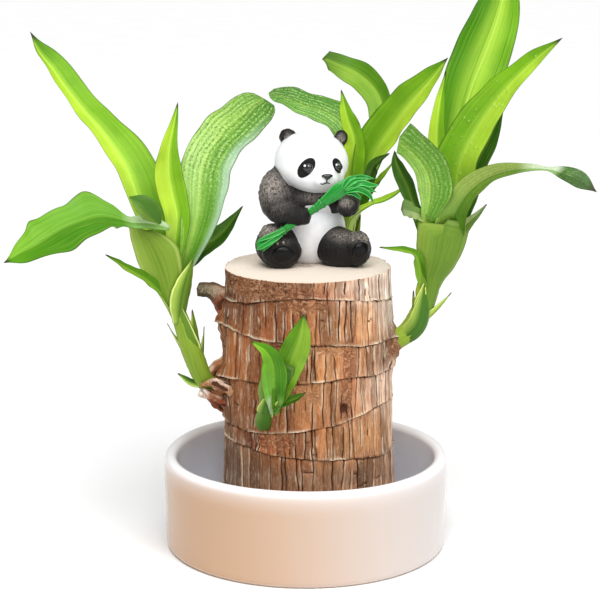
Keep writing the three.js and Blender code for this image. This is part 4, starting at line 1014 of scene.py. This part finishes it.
RIGHT_LEAVES = [
    ("inner", "bright", [(46, -1, 102), (46, 2, 118), (46, 3, 132), (45, 4, 144), (46, 5, 156),
      (48, 6, 167)],
     [5, 7.5, 8, 7.5, 6, 3.5, 0.5], [(0.1, -1, 0.1), (-0.2, -0.95, 0.2)], {}),
    ("front", "wet", [(43, -4, 99), (42, -6, 107), (41.6, -8.2, 114), (41.8, -9.4, 118.8),
      (43, -10.2, 123.1), (44, -10.8, 128.3), (43.4, -11, 132.8), (41.8, -11, 136.6), (38.8, -11.6, 140.4),
      (35.6, -12.2, 143.5), (33.2, -13, 145.6), (31.5, -13.6, 146.7)],
     [3, 3, 3.2, 3.6, 4.8, 8, 11.8, 12.4, 11.8, 10.8, 10.4, 11.6],
     [(0.1, -1, 0.1), (0, -1, 0.15), (-0.2, -0.95, 0.25), (-0.1, -0.9, 0.4)],
     dict(fold=(12, 16, 14, 8), clasp=(30, 10, 0), point=0.008, ragged=0.02, shift=-0.3, dry=0)),
    ("tall", "banded", [(47, 3, 101), (50, 10, 119), (51, 16, 134), (54, 20, 148), (58, 23, 161),
      (63, 26, 173), (68, 29, 187), (71, 31, 203)],
     [6, 9, 11, 14, 18, 21, 19.5, 14, 0.5],
     [(-0.2, -0.95, 0.1), (-0.1, -0.97, 0.2), (-0.1, -0.95, 0.25)],
     dict(fold=(44, 24, 16, 12), shift=0.1, mirror=-1)),
    ("dark", "dark", [(48, 0, 101), (53.4, 4, 118), (57, 6, 132), (63, 8, 143), (69, 10, 155.5)],
     [5, 10, 12.6, 12, 7.5, 0.5], [(-0.3, -0.9, 0.3), (-0.3, -0.8, 0.5)], {}),
    ("bright", "beaded", [(47.4, -1, 103), (50, -3, 123), (52, -6, 138), (58, -10, 151), (65, -15, 162),
      (74, -19, 172), (83.4, -24, 180.5)],
     [6, 11, 15, 16.5, 15, 12.5, 9.5, 6, 0.5], [(0, -0.95, 0.1), (-0.35, -0.9, 0.25), (-0.4, -0.8, 0.4)],
     dict(fold=(44, 24, 16, 12), shift=0.1, ragged=0.03, mirror=-1)),
    ("arched", "twisted", [(45, -2, 98), (46, -3.6, 106), (47.8, -6, 112), (49.6, -9.2, 117.9),
      (52.9, -13.6, 125.2), (55.7, -15.6, 129.2), (61.3, -20, 134), (67.3, -25, 136.9), (73.4, -29, 138.2),
      (78.9, -32, 138.5), (82.4, -34, 137.9), (85, -36, 137), (87.8, -37, 135.8), (90.6, -38, 134.4),
      (94, -39, 132.2)],
     [6, 9, 11, 11.6, 11, 10.2, 9.4, 8.2, 7, 5.6, 4, 1.8, 6, 6.6, 0.5],
     [(0.2, -1, 0), (0.15, -0.95, 0.1), (-0.35, -0.8, 0.4), (-0.4, -0.7, 0.6), (-0.2, -0.5, 0.85),
     (0.1, -0.85, 0.5)],
     dict(fold=(6, 10, 20, 18, 12), clasp=(46, 34, 8, 0, 0))),
    # A dark leaf behind the front leaf; its dark colour also stands in for the shade in that leaf's fold.
    ("strip", "dark", [(44, -2, 104), (40.4, -4.4, 113), (38.4, -4, 119.3), (36.6, -3, 123.6),
      (35, -2, 128), (32.6, -1, 132.8), (31, 0, 136.6), (30.4, 1, 140)],
     [3, 3.6, 3.8, 4.6, 5.4, 6, 5, 0.5], [(-0.3, -0.95, 0.1), (-0.5, -0.85, 0.2)], {}),
    ("blunt", "olive", [(43.5, -7, 108), (41.6, -9, 116.6), (38.8, -10, 119.6), (36, -11.5, 121.1),
      (33.5, -12.6, 121.9), (32.2, -13, 122)],
     [3, 3, 3, 3.2, 4, 5.2, 6], [(-0.3, -0.9, 0.2), (0, -0.9, 0.4)],
     dict(point=0.05, ragged=0.2, dry=0.6)),
    ("short", "olive", [(48, -5, 103), (51, -7, 110), (53, -8.6, 113.9), (55.3, -10.4, 117.2),
      (57.9, -12, 120), (61.2, -12.6, 123.8)],
     [3, 4, 4.6, 4.6, 3.6, 2, 0.4], [(0.3, -0.9, 0.2), (0.2, -0.9, 0.3)], {}),
    ("lower", "mid", [(41.6, -5.4, 90), (40, -7.6, 98), (37.6, -11, 105.6), (33, -15, 108.4),
      (28.4, -17.6, 109.4), (24.8, -19, 110.2)],
     [3, 4, 4.2, 3.4, 2.2, 0.5], [(-0.3, -0.8, 0.5), (-0.2, -0.7, 0.7)], {}),
]
FRONT_STEM = dict(
    path=[(-13.4, -24, 49.5), (-14.2, -28.4, 51.5), (-13.8, -32, 55), (-12.4, -34.6, 60), (-10.6, -36, 65),
          (-9.6, -37, 69)],
    radii=[(2.4, 2.2), (2.7, 2.4), (2.7, 2.3), (2.5, 2.1), (2.6, 1.9), (2.8, 1.3)], tone=0,
    sheaths=[
        ([(-13.8, -32, 55), (-12, -37.6, 62.4), (-10, -39.8, 68), (-9, -40.6, 71)],
         [5, 7, 10, 11, 8.4], [(0, -1, 0)], dict(dry=0, tone=0, sheath=0.1, notch=(4, 1.5))),
        ([(-14.6, -31, 52.6), (-13.8, -36, 57.6), (-12.4, -38.4, 65)],
         [5, 7.4, 6.4, 3.4, 0.5], [(-0.2, -1, 0)], dict(dry=0, tone=0)),
        ([(-13, -32, 54), (-9, -36, 58.6), (-6.6, -38.4, 65)],
         [4, 5.4, 4.4, 0.5], [(0.6, -0.8, 0)], dict(dry=0.2, tone=0.05)),
    ],
)
FRONT_LEAVES = [
    ("main", "mid", [(-9.6, -35.6, 58), (-8.8, -36.6, 62.4), (-7.1, -38, 68.3), (-5.1, -39.4, 75.2),
      (-3.1, -40.4, 80.9), (-1.7, -41, 85.5), (-0.5, -41, 92.2)],
     [3.6, 6, 7.8, 9.4, 10.4, 9.6, 6, 0.5], [(0, -1, 0.1), (0, -0.95, 0.2)], dict(mirror=-1)),
    ("left", "deep", [(-10.4, -35, 57), (-9.8, -37, 61.8), (-10.1, -39.4, 67.1), (-10.1, -41.6, 72.8),
      (-11, -43.4, 77.7), (-13.2, -44.6, 81.1), (-15.5, -45.2, 82.7), (-17.8, -45.6, 84.1)],
     [3.6, 6, 8, 9.2, 9, 7, 3.6, 0.5], [(-0.1, -0.95, 0.2), (-0.1, -0.9, 0.3)], {}),
    ("right", "dark", [(-10, -36.6, 59), (-6, -39, 61.6), (-3, -41, 63.6), (0, -42.4, 66)],
     [3, 4, 3.2, 0.5], [(0, -0.7, 0.7)], {}),
]

# Blade materials: stops as place, red, green and blue, and what differs from a plain leaf.
DULL = dict(under=(160, 180, 104), rough=0.38, rib=0.0, relief=0.3, pattern=0.4)
LEAF_LOOKS = {
    "bright": dict(stops=[(0, 180, 208, 96), (0.14, 182, 212, 92), (0.4, 184, 216, 64), (0.85, 170, 206, 52),
                          (1, 104, 152, 34)]),
    "banded": dict(stops=[(0, 160, 196, 74), (0.2, 150, 194, 56), (0.5, 126, 176, 36), (1, 108, 164, 32)],
                   stripes=0.75, band=0.7),
    "mid": dict(stops=[(0, 150, 190, 66), (0.14, 138, 180, 58), (0.4, 122, 164, 48), (0.85, 126, 162, 50),
                       (1, 84, 118, 34)], rib=0.15, stripes=0.4),
    "deep": dict(stops=[(0, 196, 216, 180), (0.2, 190, 214, 166), (0.28, 110, 164, 60), (0.7, 104, 160, 38),
                        (1, 128, 180, 44)], under=(140, 178, 84), rough=0.4, rib=0.04, stripes=0.5),
    "dark": dict(stops=[(0, 110, 156, 56), (0.2, 84, 136, 44), (0.6, 62, 108, 28), (1, 44, 82, 22)],
                 under=(120, 160, 76), rough=0.4, rib=0.12, stripes=0.5),
    "wet": dict(stops=[(0, 132, 172, 62), (0.2, 136, 176, 70), (0.4, 146, 188, 82), (0.65, 148, 188, 84),
                       (1, 112, 158, 50)], rough=0.36, rib=0.12, stripes=0.5, relief=0.6, pattern=0.55),
    "frosted": dict(stops=[(0, 140, 180, 66), (0.2, 150, 192, 80), (0.5, 178, 212, 124), (0.75, 156, 196, 90),
                           (1, 98, 150, 44)], rough=0.34, rib=0.12, stripes=0.5, relief=0.6, sheen=0.6),
    "striped": dict(stops=[(0, 150, 196, 80), (0.4, 126, 174, 82), (0.8, 116, 172, 72), (1, 84, 142, 46)],
                    rough=0.34, rib=0.1, stripes=0.6, relief=0.5),
    "beaded": dict(stops=[(0, 150, 190, 60), (0.14, 152, 194, 58), (0.4, 164, 202, 56), (0.85, 172, 208, 58),
                          (1, 120, 160, 40)], rough=0.36, rib=0.3, beads=0.35),
    "olive": dict(stops=[(0, 112, 152, 54), (0.3, 118, 156, 58), (0.5, 146, 164, 74), (0.75, 150, 166, 110),
                         (1, 120, 134, 96)], **DULL),
    "twisted": dict(stops=[(0, 120, 158, 60), (0.3, 126, 162, 60), (0.45, 142, 164, 70), (0.66, 138, 156, 76),
                           (0.73, 206, 216, 190), (0.82, 206, 216, 200), (0.85, 56, 102, 30),
                           (1, 42, 80, 22)], **DULL),
}
DEEP_LOOKS = ("deep", "dark", "olive", "twisted")


def shoots():
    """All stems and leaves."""
    looks = {name: leaf_look(name, **form) for name, form in LEAF_LOOKS.items()}
    stems = stem_look()
    plan = {"left": (LEFT_STEM, LEFT_LEAVES), "back": (BACK_STEM, BACK_LEAVES),
            "right": (RIGHT_STEM, RIGHT_LEAVES), "front": (FRONT_STEM, FRONT_LEAVES)}
    for number, (prefix, (stalk, leaves)) in enumerate(plan.items()):
        stem(f"{prefix}_stem", stems, **stalk)
        for k, (name, look, *outline) in enumerate(leaves):
            slot = "leaf_deep" if look in DEEP_LOOKS and name != "blunt" else "leaf_bright"
            leaf(f"{prefix}_leaf_{name}", looks[look], slot, 20 * number + k, *outline)


# ---- Panda ----

PANDA_BASE = 100.06
# Rounded parts of the body: centre, radii and, for some, a turn in degrees.
PANDA_PARTS = {
    "body": ((1.4, 9, 111), (12.6, 11.5, 13)),
    "chest": ((1, 8, 121.5), (12.6, 9, 8.4)),
    "head": ((2, 8, 135.2), (12.9, 11.6, 10.5), (0, 4, 0)),
    "jaw": ((3.2, 5, 131.8), (10.4, 9.6, 7), (0, 4, 0)),
    "muzzle": ((6.4, -1.2, 131), (5.2, 4.6, 3.9), (0, 0, 20)),
    "ear_left": ((-6.3, 9.5, 143.6), (3, 2.1, 3), (0, 0, -10)),
    "ear_right": ((12.3, 10, 143.2), (2.5, 2.1, 2.8), (0, 0, 30)),
    "thigh_left": ((-9.6, 1, 107), (7.8, 7.5, 7.6), (0, -20, 15)),
    "knee_left": ((-11.8, 0.5, 111), (4, 4, 3.6), (0, -20, 0)),
    "foot_left": ((-8.2, -4, 105.6), (6.8, 4.4, 6), (0, 0, 10)),
    "thigh_right": ((11.5, 1.5, 106), (9.2, 7, 7.2), (0, 20, -20)),
    "foot_right": ((17.9, -2.8, 106.6), (4.6, 4.8, 6.2), (0, 0, -25)),
    "hand_right": ((14.4, -5.4, 121.9), (3.9, 3.4, 3.8)),
}
PANDA_WHITE = ("body", "head", "jaw", "muzzle")
PANDA_LIMBS = ("thigh", "knee", "foot", "hand")
PANDA_ARMS = [
    ([[-9, 8, 133.6], [-10.4, 6.4, 129], [-11, 3.6, 123.8], [-9.8, -0.6, 119.9], [-5.8, -4.8, 118.6],
      [-1.6, -7.4, 118.7], [0.8, -8, 119]], [1.4, 4.4, 5.2, 4.8, 4, 3.6, 2.8]),
    ([[7, 6, 125], [12, 4, 124], [15, 0, 122.6], [14.6, -4.4, 122]], [3.6, 3.9, 3.8, 3]),
]
EYE_PATCHES = [
    ((0.3, -2.4, 134.6), (2.5, 3.4, 4.1), (0, 38, 0)),
    ((11.5, -1.8, 134.9), (1.9, 3.2, 3.4), (0, -30, 0)),
]
# The white belly shows between the limbs, below the chest.
BELLY = ((3.5, -3, 112), (7.4, 9, 11.5), (0, 8, 0))
CHEST_BOTTOM = 121.5
# The white fur in front of the left ear.
BROW = ((-4.1, 7.4, 141.6), (2.4, 4, 2.2))
# Grey dry-brush where light falls on the black fur, part paint, part painted highlight: centre, radii,
# strength.
BRUSH_AND_HIGHLIGHT = [
    ((-11.5, 4, 126), (5, 7, 6.5), 0.85), ((-7, -3, 120.5), (5, 4, 3), 0.35),
    ((-12.5, -1, 112.5), (4.6, 5, 3), 0.9), ((14, -4, 112), (6, 5, 2.6), 0.55),
    ((13.6, -8, 124), (2.6, 3, 2), 0.8), ((20.5, -5, 111), (2.4, 3, 2.4), 0.6),
    ((-5.9, 6.6, 143.4), (1.8, 2, 1.8), 0.6), ((12.2, 7.4, 143.2), (1.3, 2, 1.5), 0.9),
    ((-8, -7.5, 110.4), (5, 3, 1.6), 0.15), ((4, -1, 124), (6, 6, 1.8), 0.35),
]
# The painted lines of the mouth.
MOUTH = [
    [[7.3, -6.2, 131.4], [7.2, -6.1, 130.5], [7.1, -5.8, 129.9]],
    [[4.4, -4.9, 129.8], [5.7, -5.6, 129.4], [7.1, -5.8, 129.9], [8.3, -5.5, 129.6]],
]
# The middles of the claws.
CLAWS = [(-11.4, -7.3, 108.3), (-9.6, -8, 109.3), (-7.6, -8.2, 109.6), (16.2, -7, 110.4), (18.1, -6.9, 111),
         (20, -6, 110.8)]
# Small glossy parts in the form of the rounded ones, by material: black, glints, claws and soles.
PANDA_GLOSS = [
    [((0.9, -4.9, 134.8), (1.5, 1.2, 1.7), (0, 38, 0)), ((11.4, -4.1, 135.3), (1.15, 1.1, 1.4), (0, -30, 0)),
     ((7.3, -5.9, 132.3), (2, 0.9, 0.75), (0, 0, 8)), ((7.3, -6, 131.8), (1.1, 0.8, 0.75), (0, 0, 8))],
    [((-0.3, -5.9, 135.8), (0.4, 0.3, 0.4)), ((10.5, -5, 136), (0.34, 0.28, 0.34))],
    [(centre, (0.4, 0.3, 0.6)) for centre in CLAWS],
    [((-7.8, -7.4, 105.2), (3.9, 1.5, 3.2), (10, 0, 8)), ((18.9, -6.2, 106.4), (3.3, 1.5, 3.3), (12, 0, 30))],
]


def from_middle(points, centre, radii, degrees=(0, 0, 0)):
    """How far out points lie from the middle of an ellipsoid, where 1 is on its skin."""
    return np.linalg.norm((points - np.array(centre)) @ turned(degrees) / np.array(radii), axis=1)


def blob(points, part):
    """1 inside a soft-edged ellipsoid, 0 outside."""
    return 1 - smoothstep(from_middle(points, *part), 0.9, 1.1)


def arm_distance(points, path, radii):
    s = np.linspace(0, 1, 60)
    gaps = np.linalg.norm(points[:, None] - curve(path, s)[0][None], axis=2) - along(radii, s)[:, 0][None]
    return gaps.min(1)


def panda_lump():
    """The parts joined into one skin with evenly spaced vertices: points, normals and faces."""
    shape = Shape()
    for part in PANDA_PARTS.values():
        shape.add(*ball(*part, rows=24, columns=36))
    for path, radii in PANDA_ARMS:
        shape.add(*tube(path, radii, 30, 24)[:2])
    mesh = bpy.data.meshes.new("panda_lump")
    mesh.from_pydata(np.vstack(shape.points).tolist(), [], shape.faces)
    lump = bpy.data.objects.new("panda_lump", mesh)
    bpy.context.scene.collection.objects.link(lump)
    remesh = lump.modifiers.new("skin", "REMESH")
    remesh.mode, remesh.voxel_size = "VOXEL", 0.36
    smooth = lump.modifiers.new("soften", "SMOOTH")
    smooth.factor, smooth.iterations = 0.6, 7
    skin = bpy.data.meshes.new_from_object(lump.evaluated_get(bpy.context.evaluated_depsgraph_get()))
    bpy.data.objects.remove(lump)
    points, normals = np.zeros((2, len(skin.vertices) * 3))
    skin.vertices.foreach_get("co", points)
    skin.vertices.foreach_get("normal", normals)
    faces = [list(polygon.vertices) for polygon in skin.polygons]
    return points.reshape(-1, 3), normals.reshape(-1, 3), faces


def panda_paint(points):
    """Black share, grey brush that is partly a painted highlight, and painted shade in the creases, for each
    vertex.
    """
    away = {name: (from_middle(points, *part) - 1) * min(part[1]) for name, part in PANDA_PARTS.items()}
    limbs = [away[name] for name in away if name.startswith(PANDA_LIMBS)]
    limbs = np.min([*limbs, *(arm_distance(points, *arm) for arm in PANDA_ARMS)], axis=0)
    dark = np.min([limbs, away["chest"], away["ear_left"], away["ear_right"]], axis=0)
    light = np.min([away[name] for name in PANDA_WHITE], axis=0)
    black = 1 - smoothstep(dark - light, -0.35, 0.35)
    black = black * (1 - blob(points, BELLY) * (limbs > 0.5) * (points[:, 2] < CHEST_BOTTOM))
    black = black * (1 - blob(points, BROW))
    for patch in EYE_PATCHES:
        black = np.maximum(black, blob(points, patch))
    brush_and_highlight = np.max([strength * np.exp(-from_middle(points, *spot) ** 2.5) for *spot, strength in BRUSH_AND_HIGHLIGHT], axis=0)
    # The white painted grey beside the black parts and a little below the chest, as shade in the creases.
    painted_hollow_shade = 0.55 * np.exp(-np.clip(dark, 0, 9) / 1.5) + 0.08 * (points[:, 2] < CHEST_BOTTOM - 0.5)
    return {"black": black, "brush_and_highlight": brush_and_highlight, "painted_hollow_shade": np.clip(painted_hollow_shade * (1 - black), 0, 1)}


def panda():
    """A seated panda: painted skin with raised fur, glossy eyes, nose, claws and soles, and a drawn mouth."""
    points, normals, faces = panda_lump()
    paint = panda_paint(points)
    strand = noise3(points * np.array([1.2, 1.2, 0.6]), 21)
    strand = strand + 0.5 * noise3(points * np.array([2.6, 2.6, 1.2]), 22)
    furred = smoothstep(paint["black"], 0.4, 0.8) * smoothstep(points[:, 2], 101, 103)
    points = points + normals * (strand * (furred * (0.2 + 0.3 * paint["brush_and_highlight"])))[:, None]
    points[:, 2] = np.maximum(points[:, 2], PANDA_BASE)
    shape = Shape("black", "brush_and_highlight", "painted_hollow_shade")
    shape.add(points, [], **paint)
    shape.faces, shape.looks = faces, [0] * len(faces)
    for look, balls in enumerate(PANDA_GLOSS):
        for part in balls:
            shape.add(*ball(*part), look + 1)
    for path in MOUTH:
        shape.add(*tube(path, [0.16, 0.24, 0.14], 16, 8, (0, 0, 1))[:2], 1)
    looks = [panda_look(), gloss_look("panda_black_gloss", (7, 7, 9), (26, 24, 25), 0.12),
             gloss_look("panda_eye_glint", (246, 246, 246), (255, 255, 255), 0.2),
             gloss_look("panda_claw", (110, 102, 94), (160, 150, 140), 0.4, 0.1),
             gloss_look("panda_sole", (5, 5, 6), (16, 15, 16), 0.3, 0.0)]
    shape.piece("panda_painted", looks, "painted_resin", "panda_figurine")


# ---- Bamboo sprig ----

# Two lengths: path, radii as [across, deep], and joints as shares of the length.
SPRIG_STALKS = [
    ([(-16.2, -8.4, 108.2), (-11, -8.2, 111.6), (-5.5, -7.6, 115.2), (1, -7.6, 119.6)],
     [[1.5, 1], [1.3, 1], [1.2, 1.1], [1.2, 1.1]], (0.22, 0.5)),
    ([(0.5, -7.8, 119.4), (4.4, -8.8, 122.4), (8.4, -9.2, 125.6), (12, -9.4, 128.4), (14.6, -9.4, 130)],
     [[1.2, 1.1], [1.4, 1.1], [1.9, 1.1], [2.6, 1.1], [2.2, 0.8]], (0.2, 0.36)),
]
# Narrow blades: path and width.
SPRIG_BLADES = [
    ([(12.6, -10, 128.6), (14.2, -10.8, 131.6), (17.2, -10, 133)], 1.7),
    ([(13.2, -10.2, 128.6), (16.4, -11.4, 131.4), (19.6, -10.4, 131.6), (21, -9.8, 133)], 1.9),
    ([(13.6, -10.4, 128), (18.4, -12, 130.8), (22.4, -10.8, 129.9), (25, -10, 129.8)], 2.1),
    ([(13.4, -10.4, 127.6), (17.6, -11.8, 128.6), (21.4, -10.4, 126.6), (23, -9.8, 123.6)], 2.0),
    ([(13.2, -10.2, 127.4), (16.4, -11, 127), (19, -9.8, 124.8)], 1.7),
    ([(12.8, -8.8, 129.2), (17.6, -7.6, 132), (23.4, -7.2, 131.6)], 1.8),
    ([(13, -8.8, 128), (18.8, -7.4, 128.8), (24.2, -6.6, 126.8)], 1.8),
    ([(-7, -9.2, 114.4), (-11.6, -9.8, 112.4), (-16.8, -9.4, 110.3)], 1.7),
    ([(-8, -9.2, 112.6), (-12.6, -10, 109.8), (-17, -9.2, 107.2)], 1.7),
    ([(-9, -8.6, 111.6), (-13, -9.2, 108.6), (-14.8, -8.8, 106.6)], 1.5),
]


def sprig():
    """A bamboo sprig: a stalk with joints that flattens into a tuft of narrow curled blades."""
    shape = Shape("across", "place", "tone", "joint")
    for path, radii, joints in SPRIG_STALKS:
        points, faces, place, turns, outward = tube(path, radii, 60, 20)
        swell = sum(bell(place - at, 0.02) for at in joints)
        groove = sum(bell(place - at - 0.03, 0.012) for at in joints)
        points = points + outward * (0.25 * swell - 0.15 * groove)[:, None]
        shape.add(points, faces, place=place * 3, across=turns * 0.8, joint=np.clip(groove, 0, 1) * 0.7)
    for k, (path, width) in enumerate(SPRIG_BLADES):
        blade(shape, path, [1.1, width, width, width * 0.8, 0.3], [(0, -1, 0.35)],
              fold=(26, 18), clasp=(20, 0), ripple=0.1, seed=k, tone=k * 1.7, steps=20, thick=0.8)
    shape.piece("sprig_moulded", [sprig_look()], "green_plastic", "panda_bamboo_sprig")


# ---- Studio, in metres ----

CAMERA_PLACE, CAMERA_AIM = (0, -0.65, 0.2314), (-0.00195, 0, 0.0894)
FLOOR_HALF = 12


def add_object(name, data, place=(0, 0, 0), target=None):
    """A lamp, camera or mesh in the scene. It points at the target, where it has one."""
    made = bpy.data.objects.new(name, data)
    made.location = place
    if target:
        made.rotation_euler = (Vector(target) - made.location).to_track_quat("-Z", "Y").to_euler()
    bpy.context.scene.collection.objects.link(made)
    return made


def softbox(name, place, target, power, tint):
    light = bpy.data.lights.new(name, "AREA")
    light.shape, light.size, light.energy, light.color = "DISK", 0.3, power, tint
    add_object(name, light, place, target)


def lights():
    """A white surround, a broad light overhead, and three discs in front."""
    world = bpy.data.worlds.new("surround")
    world.use_nodes = True
    world.node_tree.nodes["Background"].inputs["Color"].default_value = (1, 1, 1, 1)
    world.node_tree.nodes["Background"].inputs["Strength"].default_value = 0.42
    bpy.context.scene.world = world
    sky = bpy.data.lights.new("overhead", "SUN")
    sky.energy, sky.angle = 2.3, math.radians(60)
    add_object("overhead", sky).rotation_euler = (math.radians(26), math.radians(8), 0)
    softbox("key", (0.5, -0.8, 0.55), (0, 0, 0.08), 1.6, (1.0, 0.99, 0.97))
    softbox("fill", (-0.12, -0.5, 0.75), (0, 0, 0.03), 1.5, (0.93, 0.96, 1.0))
    softbox("front", (0.02, -0.55, 0.5), (0, 0, 0.03), 0.5, (0.93, 0.96, 1.0))


def studio():
    """A pale floor, the lights, and the camera at the photograph's angle."""
    scene = bpy.context.scene
    scene.view_settings.view_transform = "Standard"
    mesh = bpy.data.meshes.new("floor")
    corners = [(x * FLOOR_HALF, y * FLOOR_HALF, 0) for x, y in ((-1, -1), (1, -1), (1, 1), (-1, 1))]
    mesh.from_pydata(corners, [], [(0, 1, 2, 3)])
    look = Look("floor_paint", Specular_IOR_Level=0.1)
    grain = look.noise(look.place(), 0.02, 2.0)
    look.tint = look.ramp(grain, (0.3, 247, 247, 247), (0.7, 249.3, 249.3, 249.3))
    mesh.materials.append(look.done(0.9))
    floor = add_object("floor", mesh)
    lights()
    camera = bpy.data.cameras.new("camera")
    camera.lens, camera.sensor_width = 114.8, 36
    scene.camera = add_object("camera", camera, CAMERA_PLACE, CAMERA_AIM)


studio()
bowl()
log()
shoots()
panda()
sprig()
